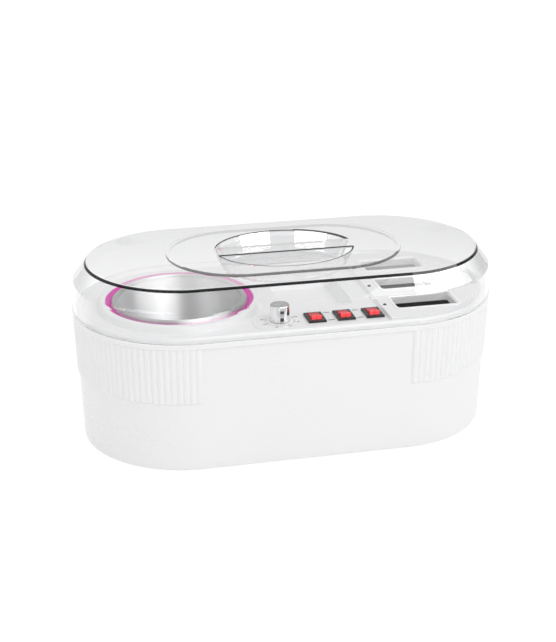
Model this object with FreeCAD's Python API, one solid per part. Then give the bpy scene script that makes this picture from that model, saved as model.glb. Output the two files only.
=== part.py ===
import FreeCAD, Part
import math
import os

# Three-slot roll-on wax heater with a lift-out pot under one clear lid.
# Millimetres. +X runs along the long side, +Y to the back, +Z up.
# The origin is on the table, below the middle of the body.

# ------------------------------------------------------------------ driving sizes
# Plan: straight sides joined by half-round ends. A radius below is measured from an end's centre.
# The deck's flange is the widest part; the other radii and the depth of the plan follow it.
end_centre = 92.3           # centre of each round end, from the middle
flange_radius = 97.7        # outside of the deck's flange
assembly_gap = 0.3          # clearance between moulded pieces that slip together
running_gap = 0.05          # radial clearance of turning fits

# housing
flange_overhang = 5.3       # the flange stands this far outside the housing's bottom edge
housing_bottom = 1.0        # bottom edge above the table
housing_top = 114.6         # parting line with the deck
housing_wall = 2.8
housing_draft = 1.8         # degrees, the wall leans outwards going up
housing_edge_round = 1.5

# reeded band round each end
reed_count = 55
reed_height = 1.6           # crest of a reed above the wall
groove_depth = 1.0          # groove between reeds, below the crest
band_height_on_wall = 51.6  # from the band's foot to the parting line
reed_run_out = 2.2          # height in which a reed rises from the wall

# screws that close the body
screw_hole_radius = 1.9
screw_pilot_radius = 1.3
screw_shank_radius = 1.25
screw_head_radius = 3.3
screw_head_height = 2.1
boss_radius = 4.5
base_boss_height = 24.0
base_boss_inset = 3.4       # boss centre inside the wall's inner face
base_screw_x = (-30.0, 60.0)
base_screw_length = 15.0
deck_screw_x = (-52.0, 80.0)
deck_pillar_inset = 9.2     # the deck's pillars stand this far inside the bead's foot along
deck_pillar_end_inset = 3.2  # the sides, and this far at the tips of the round ends
deck_pillar_size = 4.0
deck_tab_drop = 22.6        # underside of the housing's screw tabs below the parting line
deck_tab_thickness = 3.0
deck_tab_width = 13.0
deck_screw_length = 14.0

# base cover and feet
base_level = 3.0            # underside of the base cover
base_thickness = 2.5
vent_count = 9
vent_length = 34.0
vent_width = 2.6
vent_pitch = 6.5
foot_out = 12.7             # a foot's centre beyond the end's centre
foot_inset = 30.4           # and inside the housing's side
foot_radius = 9.0
foot_stem_radius = 3.0
foot_head_height = 2.0

# deck
flange_depth = 4.9
lid_ledge = 3.4             # ledge left outside the rounded bead for the lid
bead_crest_width = 4.1      # from the bead's outside to where the crest turns down to the deck
bead_width = 7.1            # and to the foot of its inner slope
bead_rise = 4.8             # crest above the flange's ledge
bead_outer_round = 2.8
bead_inner_round = 1.6
bead_wall = 3.3
deck_rise = 0.5             # deck surface above the ledge
deck_wall = 2.5
spigot_depth = 4.5
spigot_wall = 1.8

# pot, heating well and the ring round them
pot_out = 3.1               # the pot's axis beyond the end's centre
pot_rim_width = 5.3         # rolled rim, from the mouth outwards
pot_taper = 2.7             # the floor's radius is smaller than the mouth's by this
pot_depth = 90.0
pot_wall = 1.5
pot_floor_round = 9.0
pot_rim_rise = 6.3          # top of the pot's rim above the deck
pot_rim_drop = 4.8
pot_clearance = 0.9         # air between pot and well
pot_seat_gap = 0.2
well_wall = 1.2
well_flange_thickness = 1.5
ledge_width = 6.6           # the deck's ledge under the well's flange
collar_inset = 14.5         # foot of the collar inside the bead's foot
collar_bore_inset = 7.1     # bore of the collar inside its own foot
collar_crest_inset = 3.9
collar_rise = 5.9
collar_round = 2.2
ring_width = 5.2
ring_gap = 0.4              # between the ring and the pot's rim
ring_dish = 2.6             # how far the ring's face falls towards the pot
ring_lip_drop = 0.5         # outer edge of the ring below the collar's crest

# heater, strap and insulation round the well
heater_rise = 16.6          # lower edge of the heater above the well's underside
heater_height = 42.0
heater_thickness = 2.2
strap_thickness = 0.8
strap_height = 9.0
strap_lug_depth = 8.0
strap_lug_gap = 4.0
strap_screw_radius = 1.5
insulation_inset = 5.45     # the blanket's inside within the collar's bore
insulation_thickness = 7.5
insulation_rise = 8.6       # its lower edge above the well's underside
insulation_drop = 14.0      # its upper edge below the deck
insulation_slit = 26.0      # opening of the blanket over the strap's screw
stand_inset = 12.0          # the stand's tube inside the pot's floor
stand_wall = 1.2
stand_flange = 9.0
cutout_radius = 8.0
cutout_height = 7.5
cutout_blade_width = 6.3
cutout_blade_length = 9.0

# cartridge slots
platform_slope = 1.5
platform_rise = 3.2
platform_inset = 3.2        # edge of the raised platform inside the bead's foot
platform_wall = 2.2         # rim left round the hollow under the platform
slot_set_back = 60.05       # the slots' middle line inside the platform's tip
slot_pitch_share = 0.5774   # spacing of the slots as a share of the platform's radius
slot_length = 54.4
slot_width = 28.5
slot_corner = 3.0
bezel_wall = 1.6
bezel_depth = 7.0
bezel_lip = 1.6
bezel_lip_rise = 0.7
bezel_bevel = 1.0
sleeve_ease = 0.5           # the sleeve is wider than the slot by this on each side
sleeve_wall = 1.2
sleeve_floor = 20.0
sleeve_plate_length = 44.0
sleeve_plate_height = 40.0
sleeve_plate_thickness = 3.2
sleeve_plate_bottom = 45.0
band_height = 10.0
band_thickness = 0.8
cradle_thickness = 1.6
cradle_margin = 2.0
cradle_foot = 11.0

# indicator lamps
lamp_set_back = 9.85        # a lamp stands this far left of its slot
lamp_edge = 4.7             # and this far right of the platform's foot
lamp_shift = -3.2           # a lamp stands this far off its slot's centre line
lamp_radius = 1.5
lamp_proud = 1.0
lamp_board_drop = 12.0      # top of the lamp board below the platform
lamp_board_thickness = 1.6
lamp_board_width = 6.6
lamp_board_overhang = 6.0
board_pillar_radius = 2.6

# tray
tray_from_collar = 14.2     # left edge of the tray beside the collar's foot
tray_from_platform = 18.5   # its right edge beside the platform
tray_from_plate = 15.0      # its front edge behind the control plate
tray_back_inset = 42.2      # its back edge inside the bead's foot
tray_depth = 11.0
tray_slope = 4.0            # how far each wall leans in over the depth
tray_corner = 5.0
tray_wall = 2.3

# control plate, switches and knob
plate_from_pot = 53.4       # left edge beside the pot's axis
plate_inset = 6.7           # front edge inside the bead's foot
plate_width = 30.5
plate_thickness = 0.8
plate_big_corner = 12.0
plate_small_corner = 1.5
switch_from_platform = 62.05  # the left switch beside the platform
switch_pitch = 26.0
switch_inset = 16.3         # the switches behind the plate's front edge
bezel_x = 15.8
bezel_y = 20.8
bezel_height = 2.0
bezel_corner = 1.2
body_x = 13.0
body_y = 19.0
body_depth = 18.0
rocker_room_x = 9.8
rocker_room_y = 15.0
rocker_room_depth = 12.0
rocker_side_gap = 0.3
rocker_half = 6.5           # pivot to the end of the rocker
rocker_end_rise = 4.2       # top of the rocker's end above the pivot, untilted
rocker_dip = 1.3            # the middle of the top lies this far below its ends
rocker_belly = 4.0
rocker_tilt = 11.0          # degrees each way
rocker_proud = 0.8          # pressed end above the bezel
rocker_pin_radius = 1.2
rocker_pin_length = 0.9
blade_x = 4.8
blade_y = 0.8
blade_length = 8.0
blade_pitch = 6.0
knob_from_switch = 30.65
knob_inset = 18.6           # the knob behind the plate's front edge
knob_radius = 8.6
knob_height = 14.3
knob_gap = 0.5
knob_edge_round = 1.2
knob_room_radius = 7.0
knob_room_height = 5.0
knob_groove_width = 1.2
knob_groove_depth = 0.6
shaft_radius = 3.0
shaft_flat = 0.7
shaft_reach = 10.5          # top of the shaft above the control plate
bush_radius = 4.0
bush_reach = 3.6
nut_width = 11.0
nut_height = 2.4
thermostat_x = 32.0
thermostat_y = 24.0
thermostat_depth = 16.0
thermostat_collar_radius = 8.0
thermostat_collar_height = 5.0
bulb_radius = 2.4
bulb_length = 40.0
bulb_drop = 7.0             # the bulb below the deck
bulb_angle = -39.6          # degrees round the well, facing the thermostat
capillary_radius = 0.8

# mains inlet at the back
inlet_x = 20.0
inlet_z = 32.0
inlet_pad_length = 54.0
inlet_pad_height = 26.0
inlet_pad_proud = 1.6       # the pad's face beyond the housing's bottom edge
inlet_flange_length = 50.0
inlet_flange_height = 22.0
inlet_flange_thickness = 2.0
inlet_body_length = 27.0
inlet_body_height = 19.5
inlet_body_depth = 26.0
inlet_socket_length = 24.0
inlet_socket_height = 16.4
inlet_socket_depth = 18.0
inlet_socket_corner = 3.0
inlet_pin_recess = 5.0
inlet_pin_pitch = 7.0
inlet_earth_rise = 4.0
inlet_pin_x = 2.0
inlet_pin_z = 4.0
inlet_tail_length = 7.0
inlet_screw_pitch = 20.0
inlet_screw_radius = 1.5
inlet_screw_head_radius = 2.8
inlet_screw_head_height = 1.4
inlet_screw_length = 8.0

# terminal block on the base cover
block_x = 20.0
block_from_pad = 52.0       # the block in front of the inlet's pad
block_length = 32.0
block_depth = 16.0
block_height = 13.0
block_bore_radius = 2.0
block_screw_radius = 2.2
block_screw_depth = 5.0

# internal leads
lead_radius = 1.05
lead_end_gap = 0.1          # a lead stops this far from the face it is soldered to
lead_low = 19.5             # height at which leads pass the stand's windows
lead_rise = 5.0             # leads reach the cartridge heaters this far above their lower edge
lead_step = 5.0             # unit in which the leads' routes are laid out

# clear lid
lid_wall = 2.4
lid_gap = 0.35              # between the bead and the lid's inside
lid_rim_proud = 0.5         # thickened rim round the foot of the skirt
lid_rim_height = 2.75
lid_skirt = 27.3            # from the ledge to the shoulder
lid_shoulder_round = 6.0
lid_shoulder_lean = 13.15
lid_shoulder_rise = 16.7
lid_edge_round = 1.2
oval_inset_x = 51.3         # centre of the oval's ends inside the body's end centres
oval_inset = 18.9           # side of the oval inside the lid's upper edge
oval_rise = 2.4
oval_round = 0.8
grip_reach = 21.0           # end of the grip's recess beyond the oval's end centre
grip_inset = 14.5           # side of the recess inside the oval's side
grip_depth = 18.0
grip_slope = 8.0            # how far the recess narrows over its depth
grip_bar_width = 21.5
grip_floor_round = 3.0

# ------------------------------------------------------------------ derived radii
housing_radius = flange_radius - flange_overhang
bead_radius = flange_radius - lid_ledge
bead_crest_inner = bead_radius - bead_crest_width
bead_foot = bead_radius - bead_width
deck_pillar_radius = bead_foot - deck_pillar_inset
deck_pillar_end = bead_foot - deck_pillar_end_inset
platform_radius = bead_foot - platform_inset
collar_foot_radius = bead_foot - collar_inset
collar_crest_radius = collar_foot_radius - collar_crest_inset
collar_bore_radius = collar_foot_radius - collar_bore_inset
well_flange_radius = collar_bore_radius - assembly_gap
ledge_radius = collar_bore_radius - ledge_width
ring_inner_radius = collar_bore_radius - ring_width
pot_rim_radius = ring_inner_radius - ring_gap
pot_mouth_radius = pot_rim_radius - pot_rim_width
pot_floor_radius = pot_mouth_radius - pot_taper
insulation_inner_radius = collar_bore_radius - insulation_inset
stand_radius = pot_floor_radius - stand_inset
lid_radius = bead_radius + lid_gap + lid_wall
lid_edge_radius = lid_radius - lid_shoulder_lean
oval_centre = end_centre - oval_inset_x
oval_radius = lid_edge_radius - oval_inset
grip_half_x = oval_centre + grip_reach
grip_half_y = oval_radius - grip_inset

# ------------------------------------------------------------------ derived places in the plan
pot_x = -end_centre - pot_out
slot_x = end_centre + platform_radius - slot_set_back
slot_pitch = slot_pitch_share * platform_radius
lamp_x = slot_x - slot_length / 2 - lamp_set_back
platform_left = lamp_x - lamp_edge
plate_left = pot_x + plate_from_pot
plate_front = -bead_foot + plate_inset
plate_back = plate_front + plate_width
switch_y = plate_front + switch_inset
switch_first_x = platform_left - switch_from_platform
knob_x = switch_first_x - knob_from_switch
knob_y = plate_front + knob_inset
tray_left = pot_x + collar_foot_radius + tray_from_collar
tray_right = platform_left - tray_from_platform
tray_front = plate_back + tray_from_plate
tray_back = bead_foot - tray_back_inset
foot_x = end_centre + foot_out
foot_y = housing_radius - foot_inset
inlet_pad_face = housing_radius + inlet_pad_proud
block_y = inlet_pad_face - block_from_pad

# ------------------------------------------------------------------ derived levels
band_bottom = housing_top - band_height_on_wall
deck_tab_level = housing_top - deck_tab_drop
ledge_level = housing_top + flange_depth
deck_level = ledge_level + deck_rise
deck_under = deck_level - deck_wall
bead_level = ledge_level + bead_rise
platform_level = deck_level + platform_rise
plate_level = deck_level + plate_thickness
base_top = base_level + base_thickness
pot_rim_level = deck_level + pot_rim_rise
well_seat = pot_rim_level - pot_rim_drop - pot_seat_gap
ledge_top = well_seat - well_flange_thickness
pot_floor_level = pot_rim_level - pot_depth
pot_bottom = pot_floor_level - pot_wall
well_floor_level = pot_bottom - pot_seat_gap
well_bottom = well_floor_level - well_wall
heater_bottom = well_bottom + heater_rise
insulation_bottom = well_bottom + insulation_rise
insulation_top = deck_level - insulation_drop
bulb_level = deck_level - bulb_drop
sleeve_bottom = sleeve_floor - sleeve_wall
sleeve_top = platform_level - bezel_depth - assembly_gap
cradle_top = sleeve_bottom
lead_mid = sleeve_plate_bottom + lead_rise
lid_shoulder_level = ledge_level + lid_skirt
lid_edge_level = lid_shoulder_level + lid_shoulder_rise
grip_level = lid_edge_level + oval_rise
slot_names = ("front", "middle", "rear")
slot_ys = (-slot_pitch, 0.0, slot_pitch)
switch_names = ("left", "centre", "right")
switch_xs = tuple(switch_first_x + i * switch_pitch for i in range(3))
pivot_level = (plate_level + bezel_height + rocker_proud
               + rocker_half * math.sin(math.radians(rocker_tilt))
               - rocker_end_rise * math.cos(math.radians(rocker_tilt)))

UP = FreeCAD.Vector(0, 0, 1)


# ------------------------------------------------------------------ drawing helpers
def at(x, y, z=0.0):
    """A point or direction."""
    return FreeCAD.Vector(x, y, z)


def housing_outside(level):
    """Radius of the housing's plain outer wall at a height."""
    return housing_radius + (level - housing_bottom) * math.tan(math.radians(housing_draft))


def housing_inside(level):
    """Radius of the housing's inner wall at a height."""
    return housing_outside(level) - housing_wall


def rounded_wire(corners, place):
    """Closed wire through corners (a, b) or (a, b, radius), where a radius rounds that corner
    with a tangent arc. place(a, b) puts a point of the drawing into space."""
    def flat(corner):
        return at(corner[0], corner[1])

    stretches = []
    for i, corner in enumerate(corners):
        point = flat(corner)
        back = (flat(corners[i - 1]) - point).normalize()
        ahead = (flat(corners[(i + 1) % len(corners)]) - point).normalize()
        radius = corner[2] if len(corner) > 2 else 0.0
        if radius > 0.0:
            half = back.getAngle(ahead) / 2
            reach = radius / math.tan(half)
            middle = (back + ahead).normalize() * (radius / math.sin(half) - radius)
            stretches.append((point + back * reach, point + middle, point + ahead * reach))
        else:
            stretches.append((point, None, point))
    edges = []
    for i, (start, middle, end) in enumerate(stretches):
        last = stretches[i - 1][2]
        if last.distanceToPoint(start) > 1e-6:
            edges.append(Part.makeLine(place(last.x, last.y), place(start.x, start.y)))
        if middle is not None:
            edges.append(Part.Arc(place(start.x, start.y), place(middle.x, middle.y),
                                  place(end.x, end.y)).toShape())
    return Part.Wire(Part.sortEdges(edges)[0])


def turned(corners, centre_x=0.0, centre_y=0.0):
    """Solid of revolution about a vertical axis; corners are (radius, height[, rounding])."""
    wire = rounded_wire(corners, lambda r, z: at(centre_x + r, centre_y, z))
    return Part.Face(wire).revolve(at(centre_x, centre_y, 0), UP, 360)


def stadium(corners, half=None):
    """Solid whose section, corners (radius, height[, rounding]), is carried along the two
    straight sides and round the two ends of a stadium with end centres at +-half."""
    half = end_centre if half is None else half
    front = Part.Face(rounded_wire(corners, lambda r, z: at(half, -r, z)))
    rear = Part.Face(rounded_wire(corners, lambda r, z: at(-half, r, z)))
    pieces = [front.revolve(at(half, 0, 0), UP, 180), front.extrude(at(-2 * half, 0, 0)),
              rear.revolve(at(-half, 0, 0), UP, 180), rear.extrude(at(2 * half, 0, 0))]
    return pieces[0].fuse(pieces[1:]).removeSplitter()


def slab(x0, x1, y0, y1, z0, z1, corner=0.0):
    """Box between two corners, its vertical edges rounded."""
    if corner <= 0.0:
        return Part.makeBox(x1 - x0, y1 - y0, z1 - z0, at(x0, y0, z0))
    corners = [(x0, y0, corner), (x1, y0, corner), (x1, y1, corner), (x0, y1, corner)]
    wire = rounded_wire(corners, lambda x, y: at(x, y, z0))
    return Part.Face(wire).extrude(at(0, 0, z1 - z0))


def block(x, y, length, width, z0, z1, corner=0.0):
    """Box centred on (x, y)."""
    return slab(x - length / 2, x + length / 2, y - width / 2, y + width / 2, z0, z1, corner)


def rod(x, y, z0, z1, radius):
    """Upright cylinder."""
    return Part.makeCylinder(radius, z1 - z0, at(x, y, z0), UP)


def tub(left, right, front, back, top, bottom, lean, corner):
    """Rounded rectangle that narrows by lean on every side from top to bottom."""
    def outline(level, inset):
        corners = [(left + inset, front + inset, corner), (right - inset, front + inset, corner),
                   (right - inset, back - inset, corner), (left + inset, back - inset, corner)]
        return rounded_wire(corners, lambda x, y: at(x, y, level))

    return Part.makeLoft([outline(top, 0.0), outline(bottom, lean)], True, True)


def oval_tub(half_x, half_y, top, bottom, lean, over):
    """Ellipse that narrows by lean from top to bottom, carried on above the top by over."""
    rate = lean / (top - bottom)

    def outline(level):
        grow = rate * (level - top)
        curve = Part.Ellipse(at(0, 0, level), half_x + grow, half_y + grow)
        return Part.Wire(curve.toShape())

    return Part.makeLoft([outline(top + over), outline(bottom)], True, True)


def rounded_section_tub(solid, level, radius):
    """The solid with the edges that lie at one height rounded."""
    edges = [e for e in solid.Edges
             if abs(e.BoundBox.ZMin - level) < 1e-3 and abs(e.BoundBox.ZMax - level) < 1e-3]
    return solid.makeFillet(radius, edges)


def wall_places(straight_xs, side_radius, end_radius):
    """Places near the wall as (x, y, degrees outwards): pairs on the straight sides and one
    at the tip of each round end."""
    places = []
    for x in straight_xs:
        places.append((x, -side_radius, -90.0))
        places.append((x, side_radius, 90.0))
    places.append((-end_centre - end_radius, 0.0, 180.0))
    places.append((end_centre + end_radius, 0.0, 0.0))
    return places


def turned_to(shape, x, y, degrees):
    """A copy of a shape drawn at the origin pointing along +X, turned and moved."""
    copy = shape.copy()
    copy.rotate(at(0, 0, 0), UP, degrees)
    copy.translate(at(x, y, 0))
    return copy


base_screw_radius = housing_inside(base_top) - base_boss_inset
base_screw_places = wall_places(base_screw_x, base_screw_radius, base_screw_radius)
deck_screw_places = wall_places(deck_screw_x, deck_pillar_radius, deck_pillar_end)
foot_places = [(sx * foot_x, sy * foot_y) for sx in (-1, 1) for sy in (-1, 1)]


# ------------------------------------------------------------------ housing
def reed_outline(level, crest):
    """One end's band at a height: a row of outward arcs that meet in grooves, closed inside
    the wall."""
    step = math.pi / reed_count
    inner = housing_inside(level) + housing_wall / 3
    edges = []

    def polar(radius, angle):
        return at(end_centre + radius * math.cos(angle), radius * math.sin(angle), level)

    for i in range(reed_count):
        angle = -math.pi / 2 + i * step
        edges.append(Part.Arc(polar(crest - groove_depth, angle), polar(crest, angle + step / 2),
                              polar(crest - groove_depth, angle + step)).toShape())
    low, high = -math.pi / 2, math.pi / 2
    edges.append(Part.makeLine(polar(crest - groove_depth, high), polar(inner, high)))
    edges.append(Part.Arc(polar(inner, high), polar(inner, 0.0), polar(inner, low)).toShape())
    edges.append(Part.makeLine(polar(inner, low), polar(crest - groove_depth, low)))
    return Part.Wire(edges)


def reeded_band():
    """Band of upright reeds round the right end, following the wall's draft."""
    full = band_bottom + reed_run_out
    outlines = [reed_outline(band_bottom, housing_outside(band_bottom) - groove_depth / 3),
                reed_outline(full, housing_outside(full) + reed_height),
                reed_outline(housing_top, housing_outside(housing_top) + reed_height)]
    return Part.makeLoft(outlines, True, True)


def housing():
    """Outer shell: drafted stadium wall with a reeded band round each end, screw bosses for
    the base cover, tabs that carry the deck, and the flat pad of the mains inlet."""
    shell = stadium([(housing_outside(housing_bottom), housing_bottom, housing_edge_round),
                     (housing_outside(housing_top), housing_top),
                     (housing_inside(housing_top), housing_top),
                     (housing_inside(housing_bottom), housing_bottom)])
    band = reeded_band()
    added = [band, turned_to(band, 0, 0, 180)]
    holes = []
    for x, y, degrees in base_screw_places:
        added.append(rod(x, y, base_top, base_top + base_boss_height, boss_radius))
        web = slab(0, boss_radius, -housing_wall / 3, housing_wall / 3,
                   base_top, base_top + base_boss_height)
        added.append(turned_to(web, x, y, degrees))
        holes.append(rod(x, y, base_top - 1, base_top + base_boss_height - 3, screw_pilot_radius))
    for x, y, degrees in deck_screw_places:
        stands = deck_pillar_end if y == 0 else deck_pillar_radius
        tab_reach = housing_inside(deck_tab_level) + housing_wall / 3 - stands
        tab = slab(0, tab_reach, -deck_tab_width / 2, deck_tab_width / 2,
                   deck_tab_level, deck_tab_level + deck_tab_thickness)
        nose = rod(0, 0, deck_tab_level, deck_tab_level + deck_tab_thickness, deck_tab_width / 2)
        added.append(turned_to(tab.fuse(nose), x, y, degrees))
        holes.append(rod(x, y, deck_tab_level - 1, deck_tab_level + deck_tab_thickness + 1,
                         screw_hole_radius))
    pad_back = housing_inside(inlet_z) + housing_wall / 3
    added.append(slab(inlet_x - inlet_pad_length / 2, inlet_x + inlet_pad_length / 2,
                      pad_back, inlet_pad_face,
                      inlet_z - inlet_pad_height / 2, inlet_z + inlet_pad_height / 2))
    window_y = inlet_body_length / 2 + assembly_gap
    window_z = inlet_body_height / 2 + assembly_gap
    holes.append(slab(inlet_x - window_y, inlet_x + window_y, pad_back - housing_wall - 1,
                      inlet_pad_face + 1, inlet_z - window_z, inlet_z + window_z))
    for side in (-1, 1):
        holes.append(Part.makeCylinder(screw_pilot_radius, inlet_pad_face - pad_back + housing_wall + 2,
                                       at(inlet_x + side * inlet_screw_pitch,
                                          pad_back - housing_wall - 1, inlet_z), at(0, 1, 0)))
    return shell.fuse(added).cut(holes)


def base_cover():
    """Flat bottom plate inside the housing's lower edge, with two groups of vent slots."""
    radius = housing_inside(housing_bottom) - assembly_gap
    plate = stadium([(0, base_level), (radius, base_level), (radius, base_top), (0, base_top)])
    holes = [rod(x, y, base_level - 1, base_top + 1, screw_hole_radius)
             for x, y, _ in base_screw_places]
    holes += [rod(x, y, base_level - 1, base_top + 1, foot_stem_radius) for x, y in foot_places]
    for i in range(vent_count):
        x = (i - (vent_count - 1) / 2) * vent_pitch
        for side in (-1, 1):
            y = side * (vent_length / 2 + vent_pitch)
            holes.append(block(x, y, vent_width, vent_length, base_level - 1, base_top + 1,
                               vent_width * 0.45))
    return plate.cut(holes)


def rubber_feet():
    """Four feet, each a pad with a stem pulled through the base cover to its head."""
    stem = foot_stem_radius - running_gap
    foot = [(0, 0), (foot_radius - 1, 0), (foot_radius, 1), (foot_radius, base_level),
            (stem, base_level), (stem, base_top), (foot_stem_radius + 0.9, base_top),
            (stem - 0.6, base_top + foot_head_height), (0, base_top + foot_head_height)]
    return Part.makeCompound([turned(foot, x, y) for x, y in foot_places])


def pan_screw(x, y, seat, length):
    """Self-tapping screw driven upwards: a bevelled head under the seat and a plain shank."""
    head = [(0, seat - screw_head_height), (screw_head_radius - 0.9, seat - screw_head_height),
            (screw_head_radius, seat - screw_head_height + 0.9), (screw_head_radius, seat),
            (screw_shank_radius, seat),
            (screw_shank_radius, seat + length - 2), (0, seat + length)]
    return turned(head, x, y)


def base_screws():
    """Screws through the base cover into the housing's bosses."""
    return Part.makeCompound([pan_screw(x, y, base_level, base_screw_length)
                              for x, y, _ in base_screw_places])


def deck_screws():
    """Screws through the housing's tabs into the deck's pillars."""
    return Part.makeCompound([pan_screw(x, y, deck_tab_level, deck_screw_length)
                              for x, y, _ in deck_screw_places])


# ------------------------------------------------------------------ deck
def bead_section():
    """Section of the deck's rim: flange on the housing, ledge for the lid and rounded bead,
    with a spigot inside the housing's top edge."""
    spigot_outer = housing_inside(housing_top - spigot_depth) - assembly_gap
    spigot_inner = min(spigot_outer - spigot_wall, bead_radius - bead_wall)
    return [(flange_radius, housing_top, 0.4), (flange_radius, ledge_level, 0.8),
            (bead_radius, ledge_level), (bead_radius, bead_level, bead_outer_round),
            (bead_crest_inner, bead_level, bead_inner_round), (bead_foot, deck_level, 1.5),
            (bead_foot - 4, deck_level), (bead_foot - 4, deck_under),
            (spigot_inner, deck_under), (spigot_inner, housing_top - spigot_depth),
            (spigot_outer, housing_top - spigot_depth), (spigot_outer, housing_top)]


def deck():
    """Top moulding: rim, flat deck, collar of the pot well, tray and raised slot platform."""
    plate_radius = bead_foot - 2
    plate = stadium([(0, deck_under), (plate_radius, deck_under), (plate_radius, deck_level),
                     (0, deck_level)])
    collar_top = deck_level + collar_rise
    collar = turned([(ledge_radius, deck_under), (collar_foot_radius, deck_under),
                     (collar_foot_radius, deck_level), (collar_crest_radius + 1.9, collar_top, collar_round),
                     (collar_bore_radius, collar_top, 0.5), (collar_bore_radius, ledge_top),
                     (ledge_radius, ledge_top)], pot_x)
    platform = stadium([(0, deck_under), (platform_radius - 2, deck_under),
                        (platform_radius - 2, deck_level - 0.5), (platform_radius, deck_level - 0.5),
                        (platform_radius, platform_level, 0.4), (0, platform_level)])
    right_of_step = Part.Face(Part.makePolygon([
        at(platform_left, -200, deck_under), at(platform_left, -200, deck_level),
        at(platform_left + platform_slope, -200, platform_level + 1),
        at(300, -200, platform_level + 1), at(300, -200, deck_under),
        at(platform_left, -200, deck_under)])).extrude(at(0, 400, 0))
    platform = platform.common(right_of_step)
    tray_bottom = deck_level - tray_depth
    tray_out = tub(tray_left - tray_wall, tray_right + tray_wall, tray_front - tray_wall,
                   tray_back + tray_wall, deck_level, tray_bottom - tray_wall,
                   tray_slope * (tray_depth + tray_wall) / tray_depth, tray_corner + tray_wall)
    tray_in = tub(tray_left, tray_right, tray_front, tray_back, deck_level, tray_bottom,
                  tray_slope, tray_corner)
    added = [plate, collar, platform, tray_out]
    pillar_foot = deck_tab_level + deck_tab_thickness
    holes = [rod(pot_x, 0, deck_under - 1, collar_top + 1, ledge_radius),
             rod(pot_x, 0, ledge_top, collar_top + 1, collar_bore_radius), tray_in]
    for x, y, _ in deck_screw_places:
        added.append(rod(x, y, pillar_foot, deck_under + 0.5, deck_pillar_size))
        holes.append(rod(x, y, pillar_foot - 1, pillar_foot + deck_screw_length, screw_pilot_radius))
    under_platform = platform_level - deck_wall
    hollow_radius = platform_radius - platform_wall
    holes.append(stadium([(0, deck_under - 1), (hollow_radius, deck_under - 1),
                          (hollow_radius, under_platform), (0, under_platform)])
                 .common(slab(platform_left + deck_wall + 2, 300, -200, 200, 0, 200)))
    board_top = platform_level - lamp_board_drop
    pillars = []
    for side in (-1, 1):
        pillars.append(rod(lamp_x, side * slot_pitch / 2, board_top, under_platform + 0.5,
                           board_pillar_radius))
    outer_x = slot_length + 2 * bezel_wall + assembly_gap
    outer_y = slot_width + 2 * bezel_wall + assembly_gap
    cuts = []
    for y in slot_ys:
        cuts.append(block(slot_x, y, outer_x, outer_y, deck_under - 1, platform_level + 1,
                          slot_corner + bezel_wall))
        cuts.append(rod(lamp_x, y + lamp_shift, deck_under - 1, platform_level + 1,
                        lamp_radius + running_gap))
    for x in switch_xs:
        cuts.append(block(x, switch_y, body_x + assembly_gap, body_y + assembly_gap,
                          deck_under - 1, deck_level + 1))
    cuts.append(rod(knob_x, knob_y, deck_under - 1, deck_level + 1, bush_radius + running_gap))
    rim = stadium(bead_section())
    return rim.fuse(added).cut(holes).fuse(pillars).cut(cuts).removeSplitter()


def control_plate():
    """Thin plate under the knob and the switches, let onto the deck."""
    right = platform_left - assembly_gap
    corners = [(plate_left, plate_front, plate_big_corner), (right, plate_front, plate_small_corner),
               (right, plate_back, plate_small_corner), (plate_left, plate_back, plate_big_corner)]
    plate = Part.Face(rounded_wire(corners, lambda x, y: at(x, y, deck_level)))
    plate = plate.extrude(at(0, 0, plate_thickness))
    holes = [block(x, switch_y, body_x + assembly_gap, body_y + assembly_gap,
                   deck_level - 1, plate_level + 1) for x in switch_xs]
    holes.append(rod(knob_x, knob_y, deck_level - 1, plate_level + 1, bush_radius + running_gap))
    return plate.cut(holes)


# ------------------------------------------------------------------ pot side
def pot_outside(level):
    """Outer radius of the tapered pot at a height."""
    share = (level - pot_floor_level) / (pot_rim_level - pot_floor_level)
    return pot_floor_radius + (pot_mouth_radius - pot_floor_radius) * share + pot_wall


def well_inside(level):
    """Inner radius of the heating well at a height."""
    return pot_outside(level) + pot_clearance


def well_outside(level):
    """Outer radius of the heating well at a height."""
    return well_inside(level) + well_wall


def wax_pot():
    """Drawn aluminium pot: tapered, round at the floor, its rim rolled out and down."""
    rim_bottom = pot_rim_level - pot_rim_drop
    under = pot_rim_level - pot_wall
    return turned([(0, pot_bottom), (pot_outside(pot_bottom), pot_bottom, pot_floor_round + pot_wall),
                   (pot_outside(under), under, 0.8), (pot_rim_radius - pot_wall, under, 1.0),
                   (pot_rim_radius - pot_wall, rim_bottom, 0.5), (pot_rim_radius, rim_bottom, 0.5),
                   (pot_rim_radius, pot_rim_level, 2.0), (pot_mouth_radius, pot_rim_level, 1.4),
                   (pot_floor_radius, pot_floor_level, pot_floor_round), (0, pot_floor_level)], pot_x)


def heating_well():
    """Spun aluminium cup that follows the pot and hangs by its flange on the deck's ledge."""
    under = well_seat - well_flange_thickness
    return turned([(0, well_bottom), (well_outside(well_bottom), well_bottom, pot_floor_round + 3),
                   (well_outside(under), under), (well_flange_radius, under),
                   (well_flange_radius, well_seat), (well_inside(well_seat), well_seat, 1.2),
                   (well_inside(well_floor_level), well_floor_level, pot_floor_round + 1.5),
                   (0, well_floor_level)], pot_x)


def pink_ring():
    """Soft silicone ring, dished towards the pot, pressed into the collar over the flange."""
    top = deck_level + collar_rise - ring_lip_drop
    outer = collar_bore_radius - running_gap
    return turned([(ring_inner_radius, well_seat), (outer, well_seat), (outer, top, 0.4),
                   (outer - 0.9, top, 0.4), (ring_inner_radius, top - ring_dish, 0.4)], pot_x)


def sleeve_round_well(inner_gap, thickness, bottom, top):
    """Ring that follows the well's taper at a distance."""
    gap = running_gap + inner_gap
    return turned([(well_outside(bottom) + gap, bottom), (well_outside(bottom) + gap + thickness, bottom),
                   (well_outside(top) + gap + thickness, top), (well_outside(top) + gap, top)], pot_x)


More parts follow.
